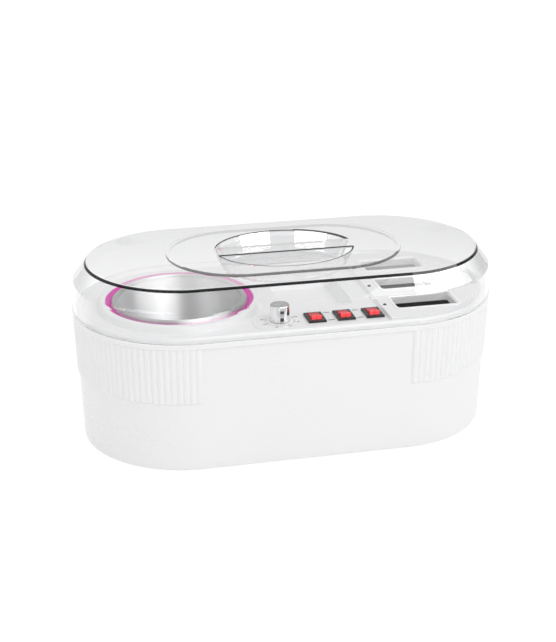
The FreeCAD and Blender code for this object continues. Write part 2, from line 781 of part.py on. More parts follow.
def band_heater():
    """Mica band heater round the well, open by a narrow gap at the back."""
    band = sleeve_round_well(0.0, heater_thickness, heater_bottom, heater_bottom + heater_height)
    return band.cut(slab(pot_x - strap_lug_gap / 2, pot_x + strap_lug_gap / 2, 0, flange_radius,
                         heater_bottom - 1, heater_bottom + heater_height + 1))


def strap_bottom_level():
    """Lower edge of the strap, half way up the heater."""
    return heater_bottom + heater_height / 2 - strap_height / 2


def strap_lug_start():
    """Where the strap's lugs leave the ring, from the pot's axis."""
    return well_outside(strap_bottom_level()) + 2 * running_gap + heater_thickness


def band_strap():
    """Steel strap that clamps the band heater, with two lugs at the gap drawn by a screw."""
    bottom = strap_bottom_level()
    top = bottom + strap_height
    strap = sleeve_round_well(running_gap + heater_thickness, strap_thickness, bottom, top)
    strap = strap.cut(slab(pot_x - strap_lug_gap / 2, pot_x + strap_lug_gap / 2, 0, flange_radius,
                           bottom - 1, top + 1))
    start = strap_lug_start() + strap_thickness / 4
    lugs = []
    for side in (-1, 1):
        inner = side * strap_lug_gap / 2
        outer = side * (strap_lug_gap / 2 + strap_thickness)
        lug = slab(pot_x + min(inner, outer), pot_x + max(inner, outer), start,
                   start + strap_lug_depth, bottom, top)
        lugs.append(lug)
    hole = Part.makeCylinder(strap_screw_radius + running_gap, 20,
                             at(pot_x - 10, start + strap_lug_depth * 0.6, (bottom + top) / 2), at(1, 0, 0))
    return strap.fuse(lugs).cut(hole)


def band_screw():
    """Clamp screw through the strap's lugs, with its square nut."""
    bottom = strap_bottom_level()
    y = strap_lug_start() + strap_thickness / 4 + strap_lug_depth * 0.6
    z = bottom + strap_height / 2
    face = strap_lug_gap / 2 + strap_thickness
    shank = Part.makeCylinder(strap_screw_radius, 2 * face + 5, at(pot_x - face, y, z), at(1, 0, 0))
    head = Part.makeCylinder(strap_screw_radius * 1.8, 1.8, at(pot_x - face - 1.8, y, z), at(1, 0, 0))
    size = strap_screw_radius * 3.2
    nut = Part.makeBox(2.0, size, size, at(pot_x + face, y - size / 2, z - size / 2))
    return shank.fuse([head, nut])


def well_insulation():
    """Glass-fibre blanket round the heater, its ends apart at the back over the clamp screw."""
    outer = insulation_inner_radius + insulation_thickness
    blanket = turned([(insulation_inner_radius, insulation_bottom), (outer, insulation_bottom),
                      (outer, insulation_top), (insulation_inner_radius, insulation_top)], pot_x)
    return blanket.cut(slab(pot_x - insulation_slit / 2, pot_x + insulation_slit / 2, 0, outer + 1,
                            insulation_bottom - 1, insulation_top + 1))


def well_stand():
    """Pressed steel stand under the well: an open tube with a foot flange and air windows."""
    outer = stand_radius + stand_wall
    ring = turned([(stand_radius, base_top), (outer + stand_flange, base_top),
                   (outer + stand_flange, base_top + stand_wall), (outer, base_top + stand_wall),
                   (outer, well_bottom), (stand_radius, well_bottom)], pot_x)
    middle = (base_top + well_bottom) / 2
    window = (well_bottom - base_top) / 5
    cuts = []
    for i in range(3):
        cut = Part.makeCylinder(window, 2 * outer + 4, at(-outer - 2, 0, middle), at(1, 0, 0))
        cuts.append(turned_to(cut, pot_x, 0, 60 * i + 30))
    return ring.cut(cuts)


def thermal_cutout():
    """Disc cut-out that touches the well's floor, with two blade terminals."""
    top = well_bottom
    disc = turned([(0, top - cutout_height), (cutout_radius - 1, top - cutout_height),
                   (cutout_radius - 1, top - 2), (cutout_radius, top - 2), (cutout_radius, top),
                   (0, top)], pot_x)
    blades = []
    for side in (-1, 1):
        y = side * cutout_radius * 0.45
        blades.append(block(pot_x, y, cutout_blade_width, blade_y,
                            top - cutout_height - cutout_blade_length, top - cutout_height + 0.5))
    return disc.fuse(blades)


# ------------------------------------------------------------------ cartridge side
def slot_bezel(y):
    """Moulded frame of one slot: a bevelled lip on the platform and a short collar below."""
    wall_x = slot_length + 2 * bezel_wall
    wall_y = slot_width + 2 * bezel_wall
    lip_top = platform_level + bezel_lip_rise
    frame = block(slot_x, y, wall_x, wall_y, platform_level - bezel_depth, platform_level + 0.1,
                  slot_corner + bezel_wall)
    lip = block(slot_x, y, wall_x + 2 * bezel_lip, wall_y + 2 * bezel_lip, platform_level, lip_top,
                slot_corner + bezel_wall + bezel_lip)
    mouth = block(slot_x, y, slot_length, slot_width, platform_level - bezel_depth - 1, lip_top + 1,
                  slot_corner)
    half_x = slot_length / 2 + bezel_bevel
    half_y = slot_width / 2 + bezel_bevel
    bevel = tub(slot_x - half_x, slot_x + half_x, y - half_y, y + half_y, lip_top,
                lip_top - bezel_bevel * 1.6, bezel_bevel, slot_corner + bezel_bevel / 2)
    return frame.fuse(lip).cut([mouth, bevel])


def cartridge_sleeve(y):
    """Deep-drawn aluminium sleeve, closed below, in which one cartridge stands."""
    inner_x = slot_length + 2 * sleeve_ease
    inner_y = slot_width + 2 * sleeve_ease
    outside = block(slot_x, y, inner_x + 2 * sleeve_wall, inner_y + 2 * sleeve_wall,
                    sleeve_bottom, sleeve_top, slot_corner + sleeve_wall)
    inside = block(slot_x, y, inner_x, inner_y, sleeve_floor, sleeve_top + 1, slot_corner)
    return outside.cut(inside)


def heater_side(y):
    """Side of a sleeve that carries its heater: towards the middle of the body."""
    return -1 if y > 0 else 1


def sleeve_face(y):
    """Plane of the sleeve's face that carries the heater."""
    return y + heater_side(y) * (slot_width / 2 + sleeve_ease + sleeve_wall)


def sleeve_heater(y):
    """Flat ceramic heater held against the sleeve."""
    face = sleeve_face(y)
    back = face + heater_side(y) * sleeve_plate_thickness
    return slab(slot_x - sleeve_plate_length / 2, slot_x + sleeve_plate_length / 2,
                min(face, back), max(face, back),
                sleeve_plate_bottom, sleeve_plate_bottom + sleeve_plate_height)


def heater_straps():
    """Spring-steel straps, one round each sleeve and its heater."""
    straps = []
    half_x = slot_length / 2 + sleeve_ease + sleeve_wall + running_gap
    bottom = sleeve_plate_bottom + sleeve_plate_height / 2 - band_height / 2
    for y in slot_ys:
        face = sleeve_face(y)
        near = face + heater_side(y) * (sleeve_plate_thickness + running_gap)
        far = 2 * y - face - heater_side(y) * running_gap
        low, high = min(near, far), max(near, far)
        outer = slab(slot_x - half_x - band_thickness, slot_x + half_x + band_thickness,
                     low - band_thickness, high + band_thickness, bottom, bottom + band_height,
                     slot_corner + sleeve_wall + band_thickness)
        inner = slab(slot_x - half_x, slot_x + half_x, low, high, bottom - 1, bottom + band_height + 1,
                     slot_corner + sleeve_wall)
        straps.append(outer.cut(inner))
    return Part.makeCompound(straps)


def sleeve_cradle():
    """Bent steel cradle: a shelf under the three sleeves on two legs with inward feet."""
    half_x = slot_length / 2 + sleeve_ease + sleeve_wall + cradle_margin
    half_y = slot_pitch + slot_width / 2 + sleeve_ease + sleeve_wall
    left, right = slot_x - half_x, slot_x + half_x
    profile = [(left, base_top), (left + cradle_foot, base_top),
               (left + cradle_foot, base_top + cradle_thickness),
               (left + cradle_thickness, base_top + cradle_thickness),
               (left + cradle_thickness, cradle_top - cradle_thickness),
               (right - cradle_thickness, cradle_top - cradle_thickness),
               (right - cradle_thickness, base_top + cradle_thickness),
               (right - cradle_foot, base_top + cradle_thickness), (right - cradle_foot, base_top),
               (right, base_top), (right, cradle_top, 2.0), (left, cradle_top, 2.0)]
    wire = rounded_wire(profile, lambda x, z: at(x, -half_y, z))
    shelf = Part.Face(wire).extrude(at(0, 2 * half_y, 0))
    corner_cut = stadium([(0, 0), (housing_inside(base_top) - 2, 0),
                          (housing_inside(base_top) - 2, cradle_top + 1), (0, cradle_top + 1)])
    shelf = shelf.common(corner_cut)
    lightening = [block(slot_x, y, slot_length * 0.6, slot_width * 0.6, cradle_top - 5, cradle_top + 1,
                        slot_corner) for y in slot_ys]
    return shelf.cut(lightening)


def lamp_board():
    """Narrow circuit board that carries the indicator lamps under the platform."""
    top = platform_level - lamp_board_drop
    half = slot_pitch + lamp_board_overhang
    return slab(lamp_x - lamp_board_width / 2, lamp_x + lamp_board_width / 2, -half, half,
                top - lamp_board_thickness, top)


def indicator_lamps():
    """Three small lamps that reach from the board through the platform."""
    bottom = platform_level - lamp_board_drop
    top = platform_level + lamp_proud
    lamp = [(0, bottom), (lamp_radius + 0.4, bottom), (lamp_radius + 0.4, bottom + 1),
            (lamp_radius, bottom + 1), (lamp_radius, top, lamp_radius * 0.6), (0, top)]
    return Part.makeCompound([turned(lamp, lamp_x, y + lamp_shift) for y in slot_ys])


# ------------------------------------------------------------------ controls
def switch_body(x):
    """Body and bezel of one rocker switch, hollow where the rocker swings, with the two
    bores of the rocker's pins."""
    top = plate_level + bezel_height
    corners = [(-bezel_x / 2, plate_level), (bezel_x / 2, plate_level), (bezel_x / 2, top, 0.7),
               (-bezel_x / 2, top, 0.7)]
    wire = rounded_wire(corners, lambda a, z: at(x + a, switch_y - bezel_y / 2, z))
    bezel = Part.Face(wire).extrude(at(0, bezel_y, 0))
    body = block(x, switch_y, body_x, body_y, plate_level - body_depth, plate_level + 0.1)
    room = block(x, switch_y, rocker_room_x, rocker_room_y, top - rocker_room_depth, top + 1, 0.6)
    bore = Part.makeCylinder(rocker_pin_radius + running_gap, body_x + 2,
                             at(x - body_x / 2 - 1, switch_y, pivot_level), at(1, 0, 0))
    keep = block(x, switch_y, body_x, body_y, pivot_level - 4, pivot_level + 4)
    return bezel.fuse(body).cut([room, bore.common(keep)])


def rocker(x):
    """Rocker with a dished top, drawn level and then tilted so that its rear end is down."""
    half_width = rocker_room_x / 2 - rocker_side_gap
    corners = [(-rocker_half, rocker_end_rise, 0.5), (0, rocker_end_rise - rocker_dip, 12.0),
               (rocker_half, rocker_end_rise, 0.5), (rocker_half - 0.4, -1.0, 1.5),
               (rocker_half * 0.45, -rocker_belly, 1.5), (-rocker_half * 0.45, -rocker_belly, 1.5),
               (-rocker_half + 0.4, -1.0, 1.5)]
    wire = rounded_wire(corners, lambda y, z: at(x - half_width, switch_y + y, pivot_level + z))
    cap = Part.Face(wire).extrude(at(2 * half_width, 0, 0))
    pin_half = rocker_room_x / 2 + rocker_pin_length
    pins = Part.makeCylinder(rocker_pin_radius, 2 * pin_half, at(x - pin_half, switch_y, pivot_level),
                             at(1, 0, 0))
    whole = cap.fuse(pins)
    whole.rotate(at(x, switch_y, pivot_level), at(1, 0, 0), -rocker_tilt)
    return whole


def switch_terminals():
    """Blade terminals under the three switches."""
    blades = []
    top = plate_level - body_depth
    for x in switch_xs:
        for step in (-1, 0, 1):
            y = switch_y + step * blade_pitch
            blades.append(block(x, y, blade_x, blade_y, top - blade_length, top))
    return Part.makeCompound(blades)


def thermostat_body():
    """Capillary thermostat under the deck, with a collar that seats against the deck and a
    threaded bush that passes deck and control plate."""
    top = deck_under - thermostat_collar_height
    case = block(knob_x, knob_y, thermostat_x, thermostat_y, top - thermostat_depth, top, 2.0)
    collar = rod(knob_x, knob_y, top - 0.1, deck_under, thermostat_collar_radius)
    bush = rod(knob_x, knob_y, deck_under - 0.1, plate_level + bush_reach, bush_radius)
    bore = rod(knob_x, knob_y, top - 5, plate_level + bush_reach + 1, shaft_radius + running_gap)
    return case.fuse([collar, bush]).cut(bore)


def thermostat_shaft():
    """Shaft with a flat for the knob."""
    bottom = deck_under - thermostat_collar_height - 4.5
    top = plate_level + shaft_reach
    shaft = rod(knob_x, knob_y, bottom, top, shaft_radius)
    flat = slab(knob_x + shaft_radius - shaft_flat, knob_x + shaft_radius + 1,
                knob_y - shaft_radius - 1, knob_y + shaft_radius + 1,
                plate_level + knob_gap + knob_room_height, top + 1)
    return shaft.cut(flat)


def thermostat_nut():
    """Hexagon nut on the bush, hidden inside the knob."""
    corner = nut_width / 2 / math.cos(math.pi / 6)
    points = [at(knob_x + corner * math.cos(i * math.pi / 3), knob_y + corner * math.sin(i * math.pi / 3),
                 plate_level) for i in range(7)]
    nut = Part.Face(Part.makePolygon(points)).extrude(at(0, 0, nut_height))
    return nut.cut(rod(knob_x, knob_y, plate_level - 1, plate_level + nut_height + 1,
                       bush_radius + running_gap))


def knob():
    """Turned knob: straight skirt, softened top edge, a pointer groove across the top, a
    room below for the nut, and a bore with a flat for the shaft."""
    bottom = plate_level + knob_gap
    top = bottom + knob_height
    room_top = bottom + knob_room_height
    body = turned([(0, room_top), (knob_room_radius, room_top), (knob_room_radius, bottom),
                   (knob_radius, bottom, 0.4), (knob_radius, top, knob_edge_round), (0, top)],
                  knob_x, knob_y)
    bore_radius = shaft_radius + running_gap
    bore = rod(knob_x, knob_y, room_top - 1, plate_level + shaft_reach + running_gap, bore_radius)
    flat = slab(knob_x + shaft_radius - shaft_flat + running_gap, knob_x + bore_radius + 1,
                knob_y - bore_radius - 1, knob_y + bore_radius + 1, room_top - 2, top)
    groove = block(knob_x, knob_y - knob_radius / 2, knob_groove_width, knob_radius * 0.9,
                   top - knob_groove_depth, top + 1)
    return body.cut([bore.cut(flat), groove])


def thermostat_bulb():
    """Sensing bulb against the well, and its capillary tube to the thermostat."""
    angle = math.radians(bulb_angle)
    reach = well_outside(bulb_level) + bulb_radius + running_gap
    out = at(math.cos(angle), math.sin(angle))
    along = at(math.sin(angle), -math.cos(angle))
    middle = at(pot_x, 0, bulb_level) + out * reach
    bulb = Part.makeCylinder(bulb_radius, bulb_length, middle - along * (bulb_length / 2), along)
    start = middle + along * (bulb_length / 2)
    end = at(knob_x - thermostat_x / 2, knob_y, deck_under - thermostat_collar_height - thermostat_depth / 2)
    corner = start + along * 9
    before = end - at(12, 0, 0)
    return bulb.fuse(tube([start, corner, before, end], capillary_radius))


def tube(points, radius):
    """Round tube along straight runs joined by tangent arcs, each as large as its runs allow."""
    edges = []
    last = points[0]
    for i in range(1, len(points) - 1):
        point = points[i]
        back = points[i - 1] - point
        ahead = points[i + 1] - point
        reach = 0.45 * min(back.Length, ahead.Length)
        back.normalize()
        ahead.normalize()
        half = back.getAngle(ahead) / 2
        bend = reach * math.tan(half)
        middle = (back + ahead).normalize() * (bend / math.sin(half) - bend)
        start, end = point + back * reach, point + ahead * reach
        edges.append(Part.makeLine(last, start))
        edges.append(Part.Arc(start, point + middle, end).toShape())
        last = end
    edges.append(Part.makeLine(last, points[-1]))
    path = Part.Wire(edges)
    ring = Part.Wire(Part.Circle(points[0], (points[1] - points[0]).normalize(), radius).toShape())
    return path.makePipeShell([ring], True, False)


# ------------------------------------------------------------------ mains inlet and terminal block
def mains_inlet():
    """Flush three-pin appliance inlet: flange with two screw ears, body and socket."""
    front = inlet_pad_face + inlet_flange_thickness

    def upright(length, height, y0, y1, corner):
        corners = [(-length / 2, -height / 2, corner), (length / 2, -height / 2, corner),
                   (length / 2, height / 2, corner), (-length / 2, height / 2, corner)]
        wire = rounded_wire(corners, lambda x, z: at(inlet_x + x, y0, inlet_z + z))
        return Part.Face(wire).extrude(at(0, y1 - y0, 0))

    flange = upright(inlet_flange_length, inlet_flange_height, inlet_pad_face, front, 5.0)
    body = upright(inlet_body_length, inlet_body_height, inlet_pad_face - inlet_body_depth,
                   inlet_pad_face + 0.1, 1.5)
    socket = upright(inlet_socket_length, inlet_socket_height, front - inlet_socket_depth, front + 1,
                     inlet_socket_corner)
    cuts = [socket]
    for side in (-1, 1):
        cuts.append(Part.makeCylinder(inlet_screw_radius + running_gap, inlet_flange_thickness + 2,
                                      at(inlet_x + side * inlet_screw_pitch, inlet_pad_face - 1, inlet_z),
                                      at(0, 1, 0)))
    for x, z in inlet_pin_places():
        cuts.append(slab(x - inlet_pin_x / 2, x + inlet_pin_x / 2, 0, front,
                         z - inlet_pin_z / 2, z + inlet_pin_z / 2))
    return flange.fuse(body).cut(cuts)


def inlet_pin_places():
    """Centres of the live, neutral and earth pins."""
    return [(inlet_x - inlet_pin_pitch, inlet_z - inlet_earth_rise / 2),
            (inlet_x + inlet_pin_pitch, inlet_z - inlet_earth_rise / 2),
            (inlet_x, inlet_z + inlet_earth_rise / 2)]


def inlet_pins():
    """Three flat pins with solder tails behind the body."""
    front = inlet_pad_face + inlet_flange_thickness - inlet_pin_recess
    back = inlet_pad_face - inlet_body_depth - inlet_tail_length
    return Part.makeCompound([slab(x - inlet_pin_x / 2, x + inlet_pin_x / 2, back, front,
                                   z - inlet_pin_z / 2, z + inlet_pin_z / 2)
                              for x, z in inlet_pin_places()])


def inlet_screws():
    """Two screws that hold the inlet to the housing's pad."""
    face = inlet_pad_face + inlet_flange_thickness
    screws = []
    for side in (-1, 1):
        x = inlet_x + side * inlet_screw_pitch
        head = Part.makeCylinder(inlet_screw_head_radius, inlet_screw_head_height, at(x, face, inlet_z),
                                 at(0, 1, 0))
        shank = Part.makeCylinder(screw_shank_radius, inlet_screw_length,
                                  at(x, face - inlet_screw_length, inlet_z), at(0, 1, 0))
        screws.append(head.fuse(shank))
    return Part.makeCompound(screws)


def terminal_block():
    """Three-way terminal block screwed to the base cover: a bore through each way and the
    well of its clamp screw above."""
    pitch = block_length / 3
    top = base_top + block_height
    body = block(block_x, block_y, block_length, block_depth, base_top, top, 1.5)
    cuts = []
    for step in (-1, 0, 1):
        x = block_x + step * pitch
        cuts.append(Part.makeCylinder(block_bore_radius, block_depth + 2,
                                      at(x, block_y - block_depth / 2 - 1, base_top + block_height / 2),
                                      at(0, 1, 0)))
        cuts.append(rod(x, block_y, top - block_screw_depth, top + 1, block_screw_radius))
    return body.cut(cuts)


# ------------------------------------------------------------------ wiring
def ring_place(radius, degrees, z):
    """A point round the pot's axis."""
    angle = math.radians(degrees)
    return at(pot_x + radius * math.cos(angle), radius * math.sin(angle), z)


def supply_leads():
    """Routes from the inlet's tails to the back of the terminal block, and from its front to
    the rear blade of each switch."""
    routes = []
    tail_y = inlet_pad_face - inlet_body_depth - inlet_tail_length - lead_end_gap
    mouth_z = base_top + block_height / 2
    back = block_y + block_depth / 2
    front = block_y - block_depth / 2
    blade_y_rear = switch_y + blade_pitch
    blade_z = plate_level - body_depth - blade_length - lead_end_gap
    live, neutral, earth = inlet_pin_places()
    for step, (x, z), switch_x in zip((-1, 0, 1), (live, earth, neutral), switch_xs):
        way_x = block_x + step * block_length / 3
        routes.append([at(x, tail_y, z), at(x, tail_y - 0.8 * lead_step, z),
                       at(way_x, back + 0.6 * lead_step, mouth_z),
                       at(way_x, back - 0.8 * lead_step, mouth_z)])
        routes.append([at(way_x, front + 0.8 * lead_step, mouth_z),
                       at(way_x, front - 2 * lead_step, mouth_z),
                       at(switch_x, front - 10.8 * lead_step, lead_low + 4.1 * lead_step),
                       at(switch_x, switch_y + 2.84 * lead_step, blade_z - 4.94 * lead_step),
                       at(switch_x, blade_y_rear, blade_z - 2 * lead_step),
                       at(switch_x, blade_y_rear, blade_z)])
    return routes


def pot_leads():
    """Routes from the left switch to the thermostat, on through the stand's window to the
    cut-out, and from the cut-out up to the band heater."""
    blade_z = plate_level - body_depth - blade_length - lead_end_gap
    case_z = deck_under - thermostat_collar_height - thermostat_depth - lead_end_gap
    left = switch_xs[0]
    side = cutout_radius * 0.45
    edge = pot_x + cutout_blade_width / 2 + lead_end_gap
    heater_middle = well_outside(heater_bottom) + running_gap + heater_thickness / 2
    heater_end = heater_bottom - lead_end_gap
    window = stand_radius + stand_wall / 2
    low = blade_z - 1.8 * lead_step
    right, near = knob_x + 1.9 * lead_step, knob_x - 1.5 * lead_step
    return [[at(left, switch_y, blade_z), at(left, switch_y, low), at(right, knob_y, low),
             at(right, knob_y, case_z)],
            [at(near, knob_y, case_z), at(near, knob_y, case_z - 2 * lead_step),
             at(pot_x + stand_radius + 4.08 * lead_step, -0.9 * stand_radius, lead_low + 0.6 * lead_step),
             ring_place(window, -30, lead_low),
             at(edge + 1.6 * lead_step, -side, lead_low), at(edge, -side, lead_low)],
            [at(edge, side, lead_low), at(edge + 1.6 * lead_step, side, lead_low),
             ring_place(window, 30, lead_low), ring_place(heater_middle, 35, lead_low + lead_step),
             ring_place(heater_middle, 35, heater_end)]]


def cartridge_leads():
    """Routes from the centre and right switches along the sleeves' left side to the end of
    each ceramic heater."""
    blade_z = plate_level - body_depth - blade_length - lead_end_gap
    plate_end = slot_x - sleeve_plate_length / 2 - lead_end_gap
    front, middle, rear = [sleeve_face(y) + heater_side(y) * sleeve_plate_thickness / 2
                           for y in slot_ys]
    centre, right = switch_xs[1:]
    near = switch_y - blade_pitch
    sleeves = slot_x - slot_length / 2 - sleeve_ease - sleeve_wall
    first, _, last = slot_ys
    step = lead_step
    return [[at(centre, switch_y, blade_z), at(centre, switch_y, blade_z - 3 * step),
             at(right - 0.89 * step, first + 0.7 * step, lead_mid + 0.8 * step),
             at(sleeves - 2.27 * step, front, lead_mid), at(plate_end, front, lead_mid)],
            [at(right, switch_y, blade_z), at(right, switch_y, blade_z - 1.6 * step),
             at(sleeves - 1.87 * step, first + 3.7 * step, lead_mid + 2 * step),
             at(sleeves - 1.87 * step, step, lead_mid),
             at(sleeves - 1.07 * step, middle, lead_mid), at(plate_end, middle, lead_mid)],
            [at(right, near, blade_z), at(right, near, blade_z - 1.6 * step),
             at(sleeves - 1.27 * step, first + 2.1 * step, lead_mid + 4.4 * step),
             at(sleeves - 1.27 * step, last - 6.1 * step, lead_mid + 2.4 * step),
             at(sleeves - 1.07 * step, rear, lead_mid + 0.4 * step),
             at(plate_end, rear, lead_mid + 0.4 * step)]]


def wiring():
    """Insulated leads, each a tube along its route."""
    routes = supply_leads() + pot_leads() + cartridge_leads()
    return Part.makeCompound([tube(route, lead_radius) for route in routes])


# ------------------------------------------------------------------ lid
def grip_recess(widen, lower):
    """The two finger recesses either side of the bar, grown by widen and deepened by lower."""
    floor = grip_level - grip_depth - lower
    recess = oval_tub(grip_half_x + widen, grip_half_y + widen, grip_level, floor,
                      grip_slope * (grip_depth + lower) / grip_depth, 2.0)
    bar = grip_bar_width / 2 - widen
    recess = recess.cut(slab(-200, 200, -bar, bar, floor - 1, grip_level + 3))
    return rounded_section_tub(recess, floor, grip_floor_round + lower)


def lid():
    """Clear moulded lid: skirt on a thicker rim, sloping shoulder, flat top with a raised
    oval, and a grip bar left standing across an oval recess. One wall thick above the rim."""
    lean_r = lid_radius - lid_edge_radius
    lean_z = lid_edge_level - lid_shoulder_level
    length = math.hypot(lean_r, lean_z)
    inner_radius = lid_radius - lid_wall
    top_under = lid_edge_level - lid_wall
    # the shoulder's inner face runs parallel to its outer face, one wall inside it
    inner_shoulder = lid_shoulder_level - lid_wall * (length - lean_z) / lean_r
    inner_edge = inner_radius - (top_under - inner_shoulder) * lean_r / lean_z
    rim_radius = lid_radius + lid_rim_proud
    rim_top = ledge_level + lid_rim_height
    outside = stadium([(0, ledge_level), (rim_radius, ledge_level), (rim_radius, rim_top, 0.4),
                       (lid_radius, rim_top), (lid_radius, lid_shoulder_level, lid_shoulder_round),
                       (lid_edge_radius, lid_edge_level, lid_edge_round), (0, lid_edge_level)])
    oval_out = stadium([(0, top_under), (oval_radius, top_under), (oval_radius, grip_level, oval_round),
                        (0, grip_level)], oval_centre)
    inside = stadium([(0, ledge_level - 1), (inner_radius, ledge_level - 1),
                      (inner_radius, inner_shoulder, lid_shoulder_round - lid_wall),
                      (inner_edge, top_under, 0.5), (0, top_under)])
    oval_in = stadium([(0, top_under - 1), (oval_radius - lid_wall, top_under - 1),
                       (oval_radius - lid_wall, grip_level - lid_wall), (0, grip_level - lid_wall)],
                      oval_centre)
    outer = outside.fuse(oval_out).cut(grip_recess(0.0, 0.0))
    inner = inside.fuse(oval_in).cut(grip_recess(lid_wall, lid_wall))
    return outer.cut(inner)


# ------------------------------------------------------------------ writing the nodes
def nodes():
    """Every sub-part by its node name."""
    made = {
        "housing": housing(), "base_cover": base_cover(), "rubber_feet": rubber_feet(),
        "base_screws": base_screws(), "deck": deck(), "deck_screws": deck_screws(),
        "control_plate": control_plate(), "wax_pot": wax_pot(), "pink_ring": pink_ring(),
        "heating_well": heating_well(), "band_heater": band_heater(), "band_strap": band_strap(),
        "band_screw": band_screw(), "well_insulation": well_insulation(), "well_stand": well_stand(),
        "thermal_cutout": thermal_cutout(), "heater_straps": heater_straps(),
        "sleeve_cradle": sleeve_cradle(), "lamp_board": lamp_board(),
        "indicator_lamps": indicator_lamps(), "thermostat_body": thermostat_body(),
        "thermostat_shaft": thermostat_shaft(), "thermostat_nut": thermostat_nut(), "knob": knob(),
        "thermostat_bulb": thermostat_bulb(), "switch_terminals": switch_terminals(),
        "mains_inlet": mains_inlet(), "inlet_pins": inlet_pins(), "inlet_screws": inlet_screws(),
        "terminal_block": terminal_block(), "wiring": wiring(), "lid": lid(),
    }
    for name, y in zip(slot_names, slot_ys):
        made["slot_bezel_" + name] = slot_bezel(y)
        made["cartridge_sleeve_" + name] = cartridge_sleeve(y)
        made["sleeve_heater_" + name] = sleeve_heater(y)
    for name, x in zip(switch_names, switch_xs):
        made["switch_body_" + name] = switch_body(x)
        made["rocker_" + name] = rocker(x)
    return made


os.makedirs("parts", exist_ok=True)
for node, shape in nodes().items():
    shape.exportStep("parts/" + node + ".step")
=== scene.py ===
import math

import bpy
import numpy as np
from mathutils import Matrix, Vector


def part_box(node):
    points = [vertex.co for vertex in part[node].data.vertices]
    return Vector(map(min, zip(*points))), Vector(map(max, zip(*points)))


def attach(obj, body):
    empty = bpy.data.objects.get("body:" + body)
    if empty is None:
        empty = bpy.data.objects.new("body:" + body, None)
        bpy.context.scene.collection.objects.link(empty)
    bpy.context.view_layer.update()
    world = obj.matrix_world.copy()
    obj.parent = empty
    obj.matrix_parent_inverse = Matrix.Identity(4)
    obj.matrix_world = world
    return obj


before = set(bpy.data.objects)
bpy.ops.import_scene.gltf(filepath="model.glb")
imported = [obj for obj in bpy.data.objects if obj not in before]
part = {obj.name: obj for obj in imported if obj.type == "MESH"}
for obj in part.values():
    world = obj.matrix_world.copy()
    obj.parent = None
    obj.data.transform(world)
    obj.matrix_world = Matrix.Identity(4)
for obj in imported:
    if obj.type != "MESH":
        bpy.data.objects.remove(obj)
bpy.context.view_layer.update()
MM = 0.001

# ---------------------------------------------------------------- studio
# A white sweep under soft light. The camera stands in front of the long side, a little to the
# left and above. Cards that only gloss sees give the metal and the clear lid something to mirror.
scene = bpy.context.scene
scene.view_settings.view_transform = "Standard"

LOOK_AT = (0.0, 0.0, 0.090)
CAMERA_TURN = math.radians(13.24)       # towards the left of the front
CAMERA_RISE = math.radians(21.59)
CAMERA_DISTANCE = 1.2584
SENSOR_HEIGHT_MM = 36.0
FRAME_HEIGHT_PX = 642.0
FOCAL_PX = 1377.3
AIM_OFF_CENTRE_PX = (5.87, 5.02)        # right of and below the middle of the frame

# What surrounds the set: two stops, each a direction's height and the grey there.
LIGHT_DOME = ((0.0, 0.60), (0.85, 0.95))
WHITE_ROOM = ((0.0, 1.0), (1.0, 1.0))
MIRRORED_ROOM = ((0.305, 0.68), (0.335, 0.88))

FLOOR_RADIUS = 6.0
FLOOR_CORNERS = 96
PAPER = 0.94                # grey of the paper that gives and takes light
SEEN_WHITE = 0.935          # plain white of the paper that is looked at
SEEN_PAPER = 0.10           # share of lit paper added to it
CARD_DISTANCE = 2.5
FAR_CARD_DISTANCE = 5.0     # behind the other cards
LAMP_AIM = (0.0, 0.0, 0.08)


def stand_camera():
    """Camera on a ray from the aim point: turned about Z, raised, at the given distance."""
    data = bpy.data.cameras.new("camera")
    camera = bpy.data.objects.new("camera", data)
    scene.collection.objects.link(camera)
    back = (-math.sin(CAMERA_TURN) * math.cos(CAMERA_RISE),
            -math.cos(CAMERA_TURN) * math.cos(CAMERA_RISE), math.sin(CAMERA_RISE))
    camera.location = [a + CAMERA_DISTANCE * b for a, b in zip(LOOK_AT, back)]
    camera.rotation_euler = (math.pi / 2 - CAMERA_RISE, 0.0, -CAMERA_TURN)
    data.sensor_fit = "VERTICAL"
    data.sensor_height = SENSOR_HEIGHT_MM
    data.lens = SENSOR_HEIGHT_MM * FOCAL_PX / FRAME_HEIGHT_PX
    data.shift_x = -AIM_OFF_CENTRE_PX[0] / FRAME_HEIGHT_PX
    data.shift_y = AIM_OFF_CENTRE_PX[1] / FRAME_HEIGHT_PX
    data.clip_end = 20.0
    scene.camera = camera


def feed(tree, source, target):
    """Joins a source socket to a target socket, or sets the target to a plain value."""
    if isinstance(source, bpy.types.NodeSocket):
        tree.links.new(source, target)
    else:
        target.default_value = source


def combined(tree, operation, *values):
    """Result of a Math operation on sockets or numbers."""
    node = tree.nodes.new("ShaderNodeMath")
    node.operation = operation
    for value, slot in zip(values, node.inputs):
        feed(tree, value, slot)
    return node.outputs[0]


def mapped(tree, value, given, wanted=(0.0, 1.0), smooth=False):
    """A value carried from one range to another and held at its ends."""
    node = tree.nodes.new("ShaderNodeMapRange")
    node.interpolation_type = "SMOOTHSTEP" if smooth else "LINEAR"
    feed(tree, value, node.inputs["Value"])
    feed(tree, given[0], node.inputs["From Min"])
    feed(tree, given[1], node.inputs["From Max"])
    feed(tree, wanted[0], node.inputs["To Min"])
    feed(tree, wanted[1], node.inputs["To Max"])
    return node.outputs[0]


def grey(level):
    """Opaque neutral colour of one level."""
    return (level, level, level, 1.0)


def picked(tree, mask, first, second):
    """The first shader where the mask is 0 and the second where it is 1."""
    mix = tree.nodes.new("ShaderNodeMixShader")
    for source, slot in zip((mask, first, second), mix.inputs):
        feed(tree, source, slot)
    return mix.outputs[0]


def bare_tree(owner):
    """Node tree of a material or a world, with nothing in it."""
    owner.use_nodes = True
    owner.node_tree.nodes.clear()
    return owner.node_tree


